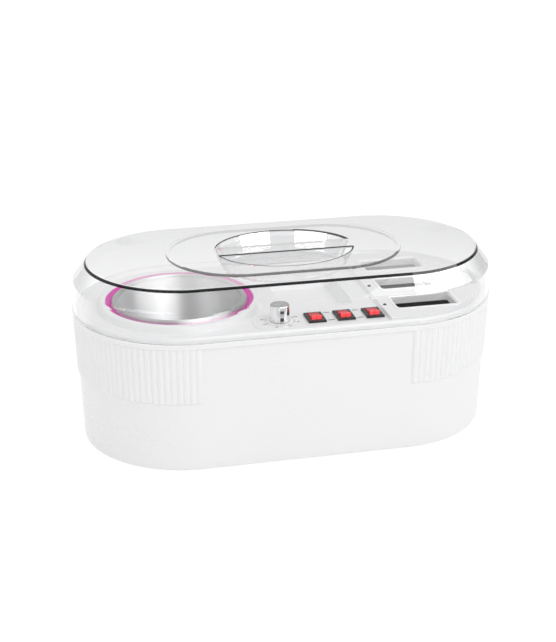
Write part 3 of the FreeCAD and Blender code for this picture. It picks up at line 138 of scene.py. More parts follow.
def plain_shader(tree, kind, level):
    """Diffuse or emission shader of one grey."""
    node = tree.nodes.new(kind)
    node.inputs["Color"].default_value = grey(level)
    return node.outputs[0]


def close_tree(tree, kind, shader):
    """Ends a tree with its output node."""
    out = tree.nodes.new(kind)
    feed(tree, shader, out.inputs[0])


def seen_directly(tree):
    """The light path node, and a mask of the rays that come from the camera or that have just
    passed clear material."""
    path = tree.nodes.new("ShaderNodeLightPath")
    return path, combined(tree, "MAXIMUM", path.outputs["Is Camera Ray"],
                          path.outputs["Is Transmission Ray"])


def room(tree, height, stops):
    """Background whose grey is blended between two stops of a direction's height."""
    ramp = tree.nodes.new("ShaderNodeValToRGB")
    for element, (position, level) in zip(ramp.color_ramp.elements, stops):
        element.position = position
        element.color = grey(level)
    feed(tree, height, ramp.inputs["Fac"])
    glow = tree.nodes.new("ShaderNodeBackground")
    feed(tree, ramp.outputs["Color"], glow.inputs["Color"])
    return glow.outputs[0]


def light_world():
    """Backdrop: white where it is looked at, a soft grey-white dome where it only gives light.
    Gloss sees grey walls up to about a third of the way to the zenith, and a white ceiling."""
    scene.world = bpy.data.worlds.new("studio")
    tree = bare_tree(scene.world)
    where = tree.nodes.new("ShaderNodeTexCoord")
    axes = tree.nodes.new("ShaderNodeSeparateXYZ")
    feed(tree, where.outputs["Generated"], axes.inputs[0])
    height = axes.outputs["Z"]
    path, direct = seen_directly(tree)
    looked_at = picked(tree, direct, room(tree, height, LIGHT_DOME), room(tree, height, WHITE_ROOM))
    mirrored = room(tree, height, MIRRORED_ROOM)
    close_tree(tree, "ShaderNodeOutputWorld",
               picked(tree, path.outputs["Is Glossy Ray"], looked_at, mirrored))


def lay_floor():
    """Round floor of white paper. Where it is looked at, or mirrored, plain white is added to a
    thin share of the lit paper, which carries the object's own shadow."""
    angle = np.linspace(0.0, 2.0 * np.pi, FLOOR_CORNERS + 1)[:-1]
    points = FLOOR_RADIUS * np.stack([np.cos(angle), np.sin(angle), np.zeros(FLOOR_CORNERS)], axis=1)
    mesh = bpy.data.meshes.new("floor")
    mesh.from_pydata(points.tolist(), [], [list(range(FLOOR_CORNERS))])
    floor = bpy.data.objects.new("floor", mesh)
    scene.collection.objects.link(floor)
    material = bpy.data.materials.new("white sweep")
    tree = bare_tree(material)
    seen = tree.nodes.new("ShaderNodeAddShader")
    feed(tree, plain_shader(tree, "ShaderNodeBsdfDiffuse", SEEN_PAPER), seen.inputs[0])
    feed(tree, plain_shader(tree, "ShaderNodeEmission", SEEN_WHITE), seen.inputs[1])
    path, direct = seen_directly(tree)
    seen_at_all = combined(tree, "MAXIMUM", direct, path.outputs["Is Glossy Ray"])
    paper = plain_shader(tree, "ShaderNodeBsdfDiffuse", PAPER)
    close_tree(tree, "ShaderNodeOutputMaterial", picked(tree, seen_at_all, paper, seen.outputs[0]))
    mesh.materials.append(material)


def hang_softbox(name, place, size, watts):
    """Rectangular area lamp at a place, facing the middle of the object."""
    data = bpy.data.lights.new(name, "AREA")
    data.shape = "RECTANGLE"
    data.size, data.size_y = size
    data.energy = watts
    lamp = bpy.data.objects.new(name, data)
    lamp.location = place
    towards = np.array(LAMP_AIM) - np.array(place)
    flat = math.hypot(towards[0], towards[1])
    lamp.rotation_euler = (math.atan2(flat, -towards[2]), 0.0, math.atan2(-towards[0], towards[1]))
    scene.collection.objects.link(lamp)


def round_the_set(turn, rise, distance):
    """Point at a distance from the aim point: turned from the front towards +x, and raised."""
    turn, rise = math.radians(turn), math.radians(rise)
    away = np.array([math.sin(turn) * math.cos(rise), -math.cos(turn) * math.cos(rise),
                     math.sin(rise)])
    return tuple(np.array(LOOK_AT) + distance * away)


def stand_card(name, corners, soft, under, sharp, distance=CARD_DISTANCE):
    """Card with four corners, given by turn and rise in degrees, that only gloss sees: at the
    soft level, at the under level on a path that has passed clear plastic, and at the sharp
    level in a mirror-smooth face."""
    mesh = bpy.data.meshes.new(name)
    points = [round_the_set(turn, rise, distance) for turn, rise in corners]
    mesh.from_pydata(points, [], [(0, 1, 2), (0, 2, 3)])
    card = bpy.data.objects.new(name, mesh)
    scene.collection.objects.link(card)
    material = bpy.data.materials.new(name)
    tree = bare_tree(material)
    path = tree.nodes.new("ShaderNodeLightPath")
    level = mapped(tree, path.outputs["Transmission Depth"], (0.0, 1.0), (soft, under))
    level = mapped(tree, path.outputs["Is Singular Ray"], (0.0, 1.0), (level, sharp))
    glow = tree.nodes.new("ShaderNodeEmission")
    feed(tree, level, glow.inputs["Strength"])
    close_tree(tree, "ShaderNodeOutputMaterial", glow.outputs[0])
    mesh.materials.append(material)
    card.visible_camera = False
    card.visible_diffuse = False
    card.visible_transmission = False
    card.visible_shadow = False


stand_camera()
light_world()
lay_floor()
hang_softbox("key softbox", (1.1, -1.5, 1.5), (1.4, 1.2), 11.0)
hang_softbox("fill softbox", (-1.6, -0.9, 0.9), (1.2, 1.0), 2.0)
stand_card("dark card front", ((-4.0, -2.0), (0.0, -2.0), (0.0, 30.0), (-4.0, 30.0)),
           0.05, 0.05, 0.05)
stand_card("grey card right", ((96.0, 0.0), (140.0, 0.0), (140.0, 42.0), (96.0, 42.0)),
           0.45, 0.45, 0.45)
stand_card("bright card right", ((36.0, 33.0), (88.0, 27.5), (96.0, 36.0), (36.0, 60.0)),
           0.9, 3.0, 14.0)
stand_card("bright card low", ((18.0, 17.0), (66.0, 16.0), (66.0, 24.5), (18.0, 31.0)),
           0.9, 3.0, 14.0)
stand_card("bright card left", ((-78.0, 16.0), (-20.0, 20.0), (-20.0, 40.0), (-78.0, 36.0)),
           0.7, 0.7, 14.0)
stand_card("bright card pot", ((-9.0, 8.0), (80.0, 8.0), (80.0, 80.0), (-9.0, 80.0)),
           0.9, 3.0, 0.68, FAR_CARD_DISTANCE)

# ---------------------------------------------------------------- housing
# The body shell is one injection moulding of white ABS: a gloss skin with the faint ripple and
# the tiny tone changes of moulded plastic. The reeds round its ends are part of the tool.
GLOSS_WHITE = (0.885, 0.885, 0.89)
RIPPLE_SCALE = 9.0              # of the slow noise
ROUGHNESS_SWING = 0.03
MOULDED_BUMP = 0.08 * MM


def skin_group(name, inputs):
    """Node group that puts out a colour, a roughness and a normal, with one input for each
    given default. Returns its tree and its two end nodes."""
    tree = bpy.data.node_groups.new(name, "ShaderNodeTree")
    kinds = {1: "NodeSocketFloat", 3: "NodeSocketVector", 4: "NodeSocketColor"}
    for title, value in inputs.items():
        made = tree.interface.new_socket(name=title, in_out="INPUT", socket_type=kinds[np.size(value)])
        made.default_value = value
    for title, size in (("Colour", 4), ("Roughness", 1), ("Normal", 3)):
        tree.interface.new_socket(name=title, in_out="OUTPUT", socket_type=kinds[size])
    return tree, tree.nodes.new("NodeGroupInput"), tree.nodes.new("NodeGroupOutput")


def object_place(tree):
    """Object coordinates of the shaded point."""
    return tree.nodes.new("ShaderNodeTexCoord").outputs["Object"]


def noise(tree, place, scale, detail=2.0):
    """Noise at a place, from 0 to 1."""
    node = tree.nodes.new("ShaderNodeTexNoise")
    feed(tree, place, node.inputs["Vector"])
    feed(tree, scale, node.inputs["Scale"])
    node.inputs["Detail"].default_value = detail
    return node.outputs["Fac"]


def scaled(tree, colour, factor):
    """A colour times a factor."""
    node = tree.nodes.new("ShaderNodeVectorMath")
    node.operation = "SCALE"
    feed(tree, colour, node.inputs[0])
    feed(tree, factor, node.inputs["Scale"])
    return node.outputs[0]


def close_group(tree, result, colour, roughness, strength, height, distance):
    """Ends a skin group: its colour, its roughness, and a normal bumped by a height."""
    relief = tree.nodes.new("ShaderNodeBump")
    relief.inputs["Distance"].default_value = distance
    feed(tree, strength, relief.inputs["Strength"])
    feed(tree, height, relief.inputs["Height"])
    feed(tree, colour, result.inputs["Colour"])
    feed(tree, roughness, result.inputs["Roughness"])
    feed(tree, relief.outputs["Normal"], result.inputs["Normal"])


def moulded_group():
    """Moulded plastic: a slow and a fine noise together shift tone and roughness, and the fine
    one gives the relief of the skin's texture."""
    tree, given, result = skin_group("Moulded plastic", {
        "Colour": grey(0.8), "Tone": 0.03, "Roughness": 0.3, "Grain Size": 900.0, "Relief": 0.1})
    place = object_place(tree)
    slow = noise(tree, place, RIPPLE_SCALE, 1.0)
    fine = noise(tree, place, given.outputs["Grain Size"])
    swing = combined(tree, "SUBTRACT", combined(tree, "ADD", slow, fine), 1.0)
    tone = combined(tree, "MULTIPLY_ADD", swing, given.outputs["Tone"], 1.0)
    rough = combined(tree, "MULTIPLY_ADD", swing, ROUGHNESS_SWING, given.outputs["Roughness"])
    close_group(tree, result, scaled(tree, given.outputs["Colour"], tone), rough,
                given.outputs["Relief"], fine, MOULDED_BUMP)
    return tree


MOULDED = moulded_group()


def new_material(name):
    """Empty node material with its Principled shader."""
    material = bpy.data.materials.new(name)
    material.use_nodes = True
    tree = material.node_tree
    return material, tree, tree.nodes["Principled BSDF"]


def wear(tree, shader, group, values):
    """Puts a skin group into a material with its inputs set, and joins it to the shader."""
    skin = tree.nodes.new("ShaderNodeGroup")
    skin.node_tree = group
    for title, value in values.items():
        skin.inputs[title].default_value = value
    feed(tree, skin.outputs["Colour"], shader.inputs["Base Color"])
    feed(tree, skin.outputs["Roughness"], shader.inputs["Roughness"])
    feed(tree, skin.outputs["Normal"], shader.inputs["Normal"])
    return skin


def moulded(name, colour, roughness, tone=0.015, grain=900.0, relief=0.08):
    """Material of one moulded piece, from the moulded plastic group."""
    material, tree, shader = new_material(name)
    wear(tree, shader, MOULDED, {"Colour": (*colour, 1.0), "Tone": tone, "Roughness": roughness,
                                 "Grain Size": grain, "Relief": relief})
    shader.inputs["IOR"].default_value = 1.5
    return material


def dress(material, *names):
    """Gives carried-over nodes their material."""
    for name in names:
        mesh = part[name].data
        mesh.materials.clear()
        mesh.materials.append(material)


dress(moulded("white gloss shell", GLOSS_WHITE, 0.28, 0.02), "housing")

# ---------------------------------------------------------------- base, feet and screws
# The base cover is a satin moulding of the same resin. Black rubber feet are pulled through it,
# and zinc-plated self-tapping screws hold it and the deck.
ROLLED_ALONG_X = (40.0, 1500.0, 1500.0)     # noise scale along each axis
CLOUD_SCALE = 60.0
ROLLED_BUMP = 0.05 * MM
dress(moulded("white satin base", (0.78, 0.78, 0.785), 0.5, 0.05, 700.0, 0.3), "base_cover")
dress(moulded("foot rubber", (0.022, 0.022, 0.023), 0.72, 0.3, 1400.0, 0.8), "rubber_feet")


def rolled_group():
    """Sheet or bar metal: noise stretched along one direction gives fine rolling streaks in
    tone, roughness and relief; a slow noise adds the cloud of plating."""
    tree, given, result = skin_group("Rolled metal", {
        "Colour": grey(0.6), "Roughness": 0.35, "Streak": ROLLED_ALONG_X, "Depth": 0.2})
    place = object_place(tree)
    stretch = tree.nodes.new("ShaderNodeVectorMath")
    stretch.operation = "MULTIPLY"
    feed(tree, place, stretch.inputs[0])
    feed(tree, given.outputs["Streak"], stretch.inputs[1])
    streak = noise(tree, stretch.outputs[0], 1.0, 3.0)
    both = combined(tree, "ADD", streak, noise(tree, place, CLOUD_SCALE))
    tone = mapped(tree, both, (0.6, 1.4), (0.88, 1.08))
    close_group(tree, result, scaled(tree, given.outputs["Colour"], tone),
                combined(tree, "MULTIPLY", tone, given.outputs["Roughness"]),
                given.outputs["Depth"], streak, ROLLED_BUMP)
    return tree


ROLLED = rolled_group()


def metal(name, colour, roughness, streak=ROLLED_ALONG_X, depth=0.2):
    """Metal material from the rolled metal group."""
    material, tree, shader = new_material(name)
    wear(tree, shader, ROLLED, {"Colour": (*colour, 1.0), "Roughness": roughness,
                                "Streak": streak, "Depth": depth})
    shader.inputs["Metallic"].default_value = 1.0
    return material


zinc = metal("zinc plate", (0.60, 0.61, 0.63), 0.34)
dress(zinc, "base_screws", "deck_screws")

# ---------------------------------------------------------------- deck and control plate
# The deck closes the top and carries the lid, the pot, the tray and the slots. It is the same
# white gloss as the shell; the thin plate under the controls is a smooth film-covered sheet.
dress(moulded("white gloss deck", GLOSS_WHITE, 0.26, 0.02), "deck")
dress(moulded("control plate film", (0.86, 0.86, 0.865), 0.36, 0.02, 1600.0, 0.06), "control_plate")

# ---------------------------------------------------------------- wax pot and well
# Spun aluminium: the pot is polished inside, with fine rings left by the tool round its axis;
# the fixed well below is the same metal, left satin. A soft pink silicone ring seals its flange.
POT_LOW, POT_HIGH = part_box("wax_pot")
POT_AXIS_X = (POT_LOW.x + POT_HIGH.x) / 2
POT_RIM_LEVEL = POT_HIGH.z - 1.6 * MM      # the rolled rim above this is given a darker colour, painted shade
# painted shade: the share of brightness the rim's colour keeps
POT_RIM_PAINTED_SHADE = 0.74
SPUN_BUMP = 0.04 * MM
QUARTER_TURN = 0.25                        # turns the spread of gloss across the rings


def axes_of(tree):
    """The three object coordinates of the shaded point."""
    axes = tree.nodes.new("ShaderNodeSeparateXYZ")
    feed(tree, object_place(tree), axes.inputs[0])
    return axes.outputs["X"], axes.outputs["Y"], axes.outputs["Z"]


def plane_point(tree, x, y):
    """Point with two coordinates and a third of zero."""
    node = tree.nodes.new("ShaderNodeCombineXYZ")
    feed(tree, x, node.inputs["X"])
    feed(tree, y, node.inputs["Y"])
    return node.outputs[0]


def length_of(tree, x, y):
    """Distance of (x, y) from the origin."""
    node = tree.nodes.new("ShaderNodeVectorMath")
    node.operation = "LENGTH"
    feed(tree, plane_point(tree, x, y), node.inputs[0])
    return node.outputs["Value"]


def spun_group():
    """Spun metal: the point's radius and height from a vertical axis drive a noise, so that
    tone, roughness and relief run in rings round the axis."""
    tree, given, result = skin_group("Spun metal", {
        "Colour": grey(0.8), "Roughness": 0.2, "Axis X": 0.0, "Rings": 2500.0, "Depth": 0.1})
    x, y, z = axes_of(tree)
    radius = length_of(tree, combined(tree, "SUBTRACT", x, given.outputs["Axis X"]), y)
    rings = noise(tree, plane_point(tree, radius, z), given.outputs["Rings"], 4.0)
    tone = mapped(tree, rings, (0.3, 0.7), (0.93, 1.04))
    close_group(tree, result, scaled(tree, given.outputs["Colour"], tone),
                combined(tree, "MULTIPLY", tone, given.outputs["Roughness"]),
                given.outputs["Depth"], rings, SPUN_BUMP)
    return tree


SPUN = spun_group()


def spun(name, colour, roughness, depth, spread):
    """Metal turned round the pot's axis, and its skin node. The fine rings spread the gloss up
    and down, across the tool's path."""
    material, tree, shader = new_material(name)
    skin = wear(tree, shader, SPUN, {"Colour": (*colour, 1.0), "Roughness": roughness,
                                     "Axis X": POT_AXIS_X, "Depth": depth})
    shader.inputs["Metallic"].default_value = 1.0
    shader.inputs["Anisotropic"].default_value = spread
    shader.inputs["Anisotropic Rotation"].default_value = QUARTER_TURN
    return material, skin


def pot_metal():
    """Polished spun metal. Above the rim level its colour is darkened, painted shade on the rolled rim.
    """
    material, skin = spun("polished pot", (0.94, 0.94, 0.945), 0.48, 0.10, 1.0)
    tree = material.node_tree
    z = axes_of(tree)[2]
    tone = mapped(tree, z, (POT_RIM_LEVEL - 0.6 * MM, POT_RIM_LEVEL), (1.0, POT_RIM_PAINTED_SHADE))
    feed(tree, scaled(tree, skin.outputs["Colour"], tone),
         tree.nodes["Principled BSDF"].inputs["Base Color"])
    return material


dress(pot_metal(), "wax_pot")
satin_well, _ = spun("satin well", (0.72, 0.725, 0.73), 0.38, 0.30, 0.5)
dress(satin_well, "heating_well")


def silicone(name, colour):
    """Soft silicone: the moulded skin with light scattered below the surface."""
    material = moulded(name, colour, 0.34, 0.10, 500.0, 0.2)
    shader = material.node_tree.nodes["Principled BSDF"]
    shader.inputs["Subsurface Weight"].default_value = 0.25
    shader.inputs["Subsurface Radius"].default_value = (4.0 * MM, 1.0 * MM, 2.0 * MM)
    shader.inputs["Subsurface Scale"].default_value = 1.0
    return material


dress(silicone("pink silicone", (0.72, 0.012, 0.43)), "pink_ring")
dress(metal("mica heater jacket", (0.50, 0.47, 0.42), 0.45), "band_heater")
dress(zinc, "band_strap", "band_screw", "well_stand")
dress(moulded("glass-fibre blanket", (0.74, 0.72, 0.66), 0.9, 0.25, 2200.0, 1.0), "well_insulation")
dress(moulded("black phenolic", (0.03, 0.028, 0.026), 0.4, 0.2, 1200.0, 0.3), "thermal_cutout")

# ---------------------------------------------------------------- cartridge side
# Three deep-drawn aluminium sleeves with a dark coat hang below white slot frames and stand on a
# steel cradle. Ceramic plates strapped to them are the heaters; a green board carries the lamps.
dress(moulded("white slot frame", (0.97, 0.97, 0.972), 0.22), "slot_bezel_front",
      "slot_bezel_middle", "slot_bezel_rear")
dress(metal("coated sleeve", (0.045, 0.045, 0.047), 0.42, (1500.0, 1500.0, 40.0), 0.25),
      "cartridge_sleeve_front", "cartridge_sleeve_middle", "cartridge_sleeve_rear")
dress(moulded("fired ceramic", (0.72, 0.69, 0.62), 0.6, 0.12, 1500.0, 0.5), "sleeve_heater_front",
      "sleeve_heater_middle", "sleeve_heater_rear")
dress(zinc, "heater_straps", "sleeve_cradle")
dress(moulded("green circuit board", (0.03, 0.16, 0.06), 0.35, 0.15, 1200.0, 0.2), "lamp_board")
dress(moulded("smoked lamp lens", (0.055, 0.045, 0.045), 0.15, 0.1, 900.0, 0.05),
      "indicator_lamps")

# ---------------------------------------------------------------- knob and thermostat
# The knob is a turned cap with bright chrome plate, soft at its upper edge. Its thermostat
# below the deck is zinc-plated, with a brass spindle and a copper bulb on a capillary.
KNOB_LOW, KNOB_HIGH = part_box("knob")
KNOB_X = (KNOB_LOW.x + KNOB_HIGH.x) / 2
KNOB_Y = (KNOB_LOW.y + KNOB_HIGH.y) / 2
POINTER_HALF = 1.5 * MM
POINTER_AND_REFLECTION_DIM = 0.32          # share of the chrome's brightness that each mark takes away, partly painted reflection
INLAY_AND_REFLECTION_DIM = 0.60
# painted reflection: the cap's face is darkened by this share
FACE_PAINTED_REFLECTION = 0.42
INLAY_SOFT = 0.5 * MM


def all_of(tree, *masks):
    """Product of masks: 1 where each of them is 1."""
    held = masks[0]
    for mask in masks[1:]:
        held = combined(tree, "MULTIPLY", held, mask)
    return held


def any_of(tree, *masks):
    """Largest of masks: 1 where one of them is 1."""
    held = masks[0]
    for mask in masks[1:]:
        held = combined(tree, "MAXIMUM", held, mask)
    return held


def between(tree, value, low, high, soft):
    """1 where a value lies between two limits, fading to 0 over a soft margin outside them."""
    return all_of(tree, mapped(tree, value, (low - soft, low), smooth=True),
                  mapped(tree, value, (high + soft, high), smooth=True))


def chrome_with_pointer_and_painted_reflection():
    """Chrome with a pointer: a grey stripe down the front of the skirt, masked by the distance
    from the knob's middle plane, with a dark inlay at its top and at its foot. The stripe and
    inlays are a pointer mark whose darkness also paints the dark reflection down the front of
    the chrome. The cap's face is painted darker than the skirt, a painted reflection."""
    material, tree, shader = new_material("bright chrome")
    skin = wear(tree, shader, ROLLED, {"Colour": (0.93, 0.93, 0.935, 1.0), "Roughness": 0.05,
                                       "Streak": (900.0, 900.0, 900.0), "Depth": 0.02})
    x, y, z = axes_of(tree)
    # pointer stripe and inlays, dark enough to also be painted reflection on the front
    stripe = all_of(tree, between(tree, x, KNOB_X - POINTER_HALF, KNOB_X + POINTER_HALF, 0.3 * MM),
                    combined(tree, "LESS_THAN", y, KNOB_Y))
    inlay = any_of(tree, between(tree, z, KNOB_HIGH.z - 5.4 * MM, KNOB_HIGH.z - 3.4 * MM, INLAY_SOFT),
                   between(tree, z, KNOB_LOW.z + 1.6 * MM, KNOB_LOW.z + 4.4 * MM, INLAY_SOFT))
    face = combined(tree, "GREATER_THAN", z, KNOB_HIGH.z - 0.4 * MM)
    marks = combined(tree, "ADD", all_of(tree, stripe, POINTER_AND_REFLECTION_DIM),
                     all_of(tree, stripe, inlay, INLAY_AND_REFLECTION_DIM))
    dim = any_of(tree, marks, all_of(tree, face, FACE_PAINTED_REFLECTION))
    shade = scaled(tree, skin.outputs["Colour"], combined(tree, "SUBTRACT", 1.0, dim))
    feed(tree, shade, shader.inputs["Base Color"])
    shader.inputs["Metallic"].default_value = 1.0
    return material


dress(chrome_with_pointer_and_painted_reflection(), "knob")
dress(zinc, "thermostat_body", "thermostat_nut")
dress(metal("plain brass", (0.80, 0.60, 0.28), 0.3), "thermostat_shaft", "switch_terminals",
      "inlet_pins")
dress(metal("drawn copper", (0.80, 0.42, 0.27), 0.3), "thermostat_bulb")

# ---------------------------------------------------------------- rocker switches
# Snap-in switches with black bezels. The rockers are clear red plastic with a lamp inside that
# lights two windows in the raised front end.
ROCKER_BOXES = [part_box("rocker_" + place) for place in ("left", "centre", "right")]
SWITCH_FIRST_X = (ROCKER_BOXES[0][0].x + ROCKER_BOXES[0][1].x) / 2
SWITCH_PITCH = (ROCKER_BOXES[2][0].x - ROCKER_BOXES[0][0].x) / 2
ROCKER_FRONT, ROCKER_BACK = ROCKER_BOXES[0][0].y, ROCKER_BOXES[0][1].y
# Each pair is the place where a window is dark and the one where it is fully lit.
WINDOW_INNER = (0.12 * MM, 0.42 * MM)      # from the rocker's middle
WINDOW_OUTER = (4.6 * MM, 4.3 * MM)
WINDOW_BACK = (ROCKER_FRONT + 1.3 * MM, ROCKER_FRONT + 0.9 * MM)

switch_case = moulded("black switch case", (0.008, 0.008, 0.0085), 0.3, 0.2, 1000.0, 0.15)
switch_case.node_tree.nodes["Principled BSDF"].inputs["IOR"].default_value = 1.38
dress(switch_case, "switch_body_left", "switch_body_centre", "switch_body_right")


def blended(tree, mask, first, second):
    """Colour that is the first where the mask is 0 and the second where it is 1."""
    node = tree.nodes.new("ShaderNodeMix")
    node.data_type = "RGBA"
    feed(tree, mask, node.inputs["Factor"])
    feed(tree, first, node.inputs["A"])
    feed(tree, second, node.inputs["B"])
    return node.outputs["Result"]


def rocker_plastic():
    """Red plastic. The distance of a point from the middle of its own switch, found with the
    pitch of the row, masks two rectangles on the raised end, which glow."""
    material = moulded("red rocker", (0.52, 0.004, 0.012), 0.16, 0.1, 700.0, 0.08)
    tree = material.node_tree
    shader = tree.nodes["Principled BSDF"]
    x, y, _ = axes_of(tree)
    start = combined(tree, "SUBTRACT", x, SWITCH_FIRST_X - SWITCH_PITCH / 2)
    along = combined(tree, "MODULO", start, SWITCH_PITCH)
    away = combined(tree, "ABSOLUTE", combined(tree, "SUBTRACT", along, SWITCH_PITCH / 2))
    lit = all_of(tree, mapped(tree, away, WINDOW_INNER, smooth=True),
                 mapped(tree, away, WINDOW_OUTER, smooth=True),
                 mapped(tree, y, WINDOW_BACK, smooth=True))
    glow = blended(tree, lit, (0.10, 0.0, 0.004, 1.0), (1.0, 0.085, 0.09, 1.0))
    feed(tree, glow, shader.inputs["Emission Color"])
    shader.inputs["Emission Strength"].default_value = 0.75
    return material


dress(rocker_plastic(), "rocker_left", "rocker_centre", "rocker_right")

# ---------------------------------------------------------------- printing on the plate
# The control plate is screen printed in grey ink: ON and OFF beside each switch, and a scale of
# degrees round the knob with a dot and a number at each step.
PLATE_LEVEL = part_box("control_plate")[1].z
INK = 0.03 * MM
LETTER_SWELL = 0.03                           # outline moved out, as a share of the size
SCALE_RADIUS = 12.7 * MM
SCALE_LINE_HALF = 0.12 * MM
SCALE_FIRST, SCALE_STEP = 21.0, -44.4         # degrees, from OFF clockwise
SCALE_WORDS = ("OFF", "40", "60", "80", "100", "120")
SCALE_WORD_SIZE = 2.3 * MM
WORD_BEYOND_DOT = (3.4 * MM, 3.0 * MM)        # along x and y
DOT_INNER, DOT_OUTER = 0.02 * MM, 0.65 * MM
SWITCH_WORD_SIZE = 3.4 * MM
ON_BEHIND, OFF_IN_FRONT = 11.5 * MM, 6.8 * MM  # of the switches' middle


def word_shape(words, size, x, y):
    """Points and triangles of a word with its middle at (x, y), lying on the plate."""
    data = bpy.data.curves.new("word", "FONT")
    data.body = words
    data.size = size
    data.align_x = "CENTER"
    data.align_y = "CENTER"
    data.extrude = INK / 2
    data.offset = LETTER_SWELL * size
    item = bpy.data.objects.new("word", data)
    scene.collection.objects.link(item)
    mesh = bpy.data.meshes.new_from_object(item)
    mesh.calc_loop_triangles()
    points = np.empty(len(mesh.vertices) * 3)
    mesh.vertices.foreach_get("co", points)
    faces = np.empty(len(mesh.loop_triangles) * 3, dtype=int)
    mesh.loop_triangles.foreach_get("vertices", faces)
    bpy.data.objects.remove(item)
    bpy.data.meshes.remove(mesh)
    return points.reshape(-1, 3) + (x, y, PLATE_LEVEL + INK / 2), faces.reshape(-1, 3)


def ring_shape(x, y, inner, outer, first, last, steps):
    """Points and triangles of a flat ring's arc between two angles in degrees: at each angle
    four corners, inner and outer, below and above, joined to the next four."""
    angle = np.radians(np.linspace(first, last, steps + 1))
    corner = np.array([(inner, 0.0), (outer, 0.0), (outer, INK), (inner, INK)])
    radius, level = corner[:, 0], corner[:, 1]
    points = np.stack([x + np.cos(angle)[:, None] * radius, y + np.sin(angle)[:, None] * radius,
                       np.broadcast_to(PLATE_LEVEL + level, (steps + 1, 4))], axis=2).reshape(-1, 3)
    start = 4 * np.arange(steps)[:, None]
    side = np.arange(4)
    a, b = start + side, start + (side + 1) % 4
    quads = np.stack([a, b, b + 4, a, b + 4, a + 4], axis=2).reshape(-1, 3)
    ends = np.array([(0, 2, 1), (0, 3, 2)])
    return points, np.concatenate([quads, ends, 4 * steps + ends[:, ::-1]])


def plate_printing():
    """All the plate's printing as one thin piece."""
    shapes = [ring_shape(KNOB_X, KNOB_Y, SCALE_RADIUS - SCALE_LINE_HALF, SCALE_RADIUS + SCALE_LINE_HALF,
                         SCALE_FIRST + SCALE_STEP * (len(SCALE_WORDS) - 1), SCALE_FIRST, 64)]
    for i, words in enumerate(SCALE_WORDS):
        angle = math.radians(SCALE_FIRST + SCALE_STEP * i)
        x, y = KNOB_X + SCALE_RADIUS * math.cos(angle), KNOB_Y + SCALE_RADIUS * math.sin(angle)
        shapes.append(ring_shape(x, y, DOT_INNER, DOT_OUTER, 0.0, 360.0, 16))
        shapes.append(word_shape(words, SCALE_WORD_SIZE, x + WORD_BEYOND_DOT[0] * math.cos(angle),
                                 y + WORD_BEYOND_DOT[1] * math.sin(angle)))
    switch_y = (ROCKER_FRONT + ROCKER_BACK) / 2
    for i in (0, 1):
        x = SWITCH_FIRST_X + (i + 0.5) * SWITCH_PITCH
        shapes.append(word_shape("ON", SWITCH_WORD_SIZE, x, switch_y + ON_BEHIND))
        shapes.append(word_shape("OFF", SWITCH_WORD_SIZE, x, switch_y - OFF_IN_FRONT))
    starts = np.cumsum([0] + [len(points) for points, _ in shapes[:-1]])
    mesh = bpy.data.meshes.new("plate_printing")
    mesh.from_pydata(np.concatenate([points for points, _ in shapes]).tolist(), [],
                     np.concatenate([faces + k for (_, faces), k in zip(shapes, starts)]).tolist())
    piece = bpy.data.objects.new("plate_printing", mesh)
    scene.collection.objects.link(piece)
    mesh.materials.append(moulded("grey ink", (0.04, 0.04, 0.042), 0.5, 0.2, 1500.0, 0.1))
    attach(piece, "base")


plate_printing()

# ---------------------------------------------------------------- mains supply
# A black three-pole appliance inlet sits flush in the back wall. Leads end in a white terminal
# block that is screwed to the base.
dress(moulded("black inlet", (0.02, 0.02, 0.021), 0.35, 0.2, 1000.0, 0.2), "mains_inlet")
dress(zinc, "inlet_screws")
dress(moulded("silicone lead jacket", (0.30, 0.31, 0.33), 0.5, 0.10, 1200.0, 0.3), "wiring")
dress(moulded("white terminal block", (0.74, 0.74, 0.72), 0.45, 0.08, 900.0, 0.2), "terminal_block")

# ---------------------------------------------------------------- clear lid
# One clear polystyrene moulding. Dark lines of painted shade lie on the corner loop of the top,
# the step of the raised oval and the rim of the grip, where light is lost in its sharp outer corners.
LID_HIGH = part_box("lid")[1]
LID_HALF = LID_HIGH.x - LID_HIGH.y         # from the middle to the centre of each end
LID_TOP = LID_HIGH.z                       # face of the raised oval
LID_EDGE_LEVEL = LID_TOP - 2.4 * MM        # face of the top round the oval
LID_EDGE_RADIUS = 83.9 * MM
OVAL_HALF = 41.0 * MM
OVAL_RADIUS = 65.0 * MM
GRIP_HALF = (62.0 * MM, 50.5 * MM)
GRIP_BAR_HALF = 10.75 * MM
RIM_SOFT = 0.006                           # margin of the grip rim's lines, as a share of it
FAR_LINE_START = 20.0 * MM                 # the far rim's line is broad to the right of this
OVAL_LINE_START = -0.5 * OVAL_RADIUS       # the oval's line is broad in front of this
OVAL_LINE_DARK = 0.92
SHOULDER_LOW = LID_EDGE_LEVEL - 15.0 * MM
SHOULDER_HIGH = LID_EDGE_LEVEL - 1.6 * MM
RECESS_LOW = LID_TOP - 21.0 * MM
RECESS_HIGH = LID_TOP - 0.8 * MM
RECESS_GLOSS_LOW = LID_TOP - 8.5 * MM
CLEAR = (0.97, 0.972, 0.975, 1.0)
# painted shade: grey tint of the far wall of the grip's recess
RECESS_PAINTED_SHADE = (0.77, 0.775, 0.78, 1.0)
# painted shade: near-black of the lines on the lid's outer corners
CORNER_PAINTED_SHADE = (0.001, 0.001, 0.0012, 1.0)
CLEAR_GLOSS = 0.12                         # coat on the shoulder and in the recess
GRAZING = (0.45, 0.62)                     # facing value at which a full coat starts and is full


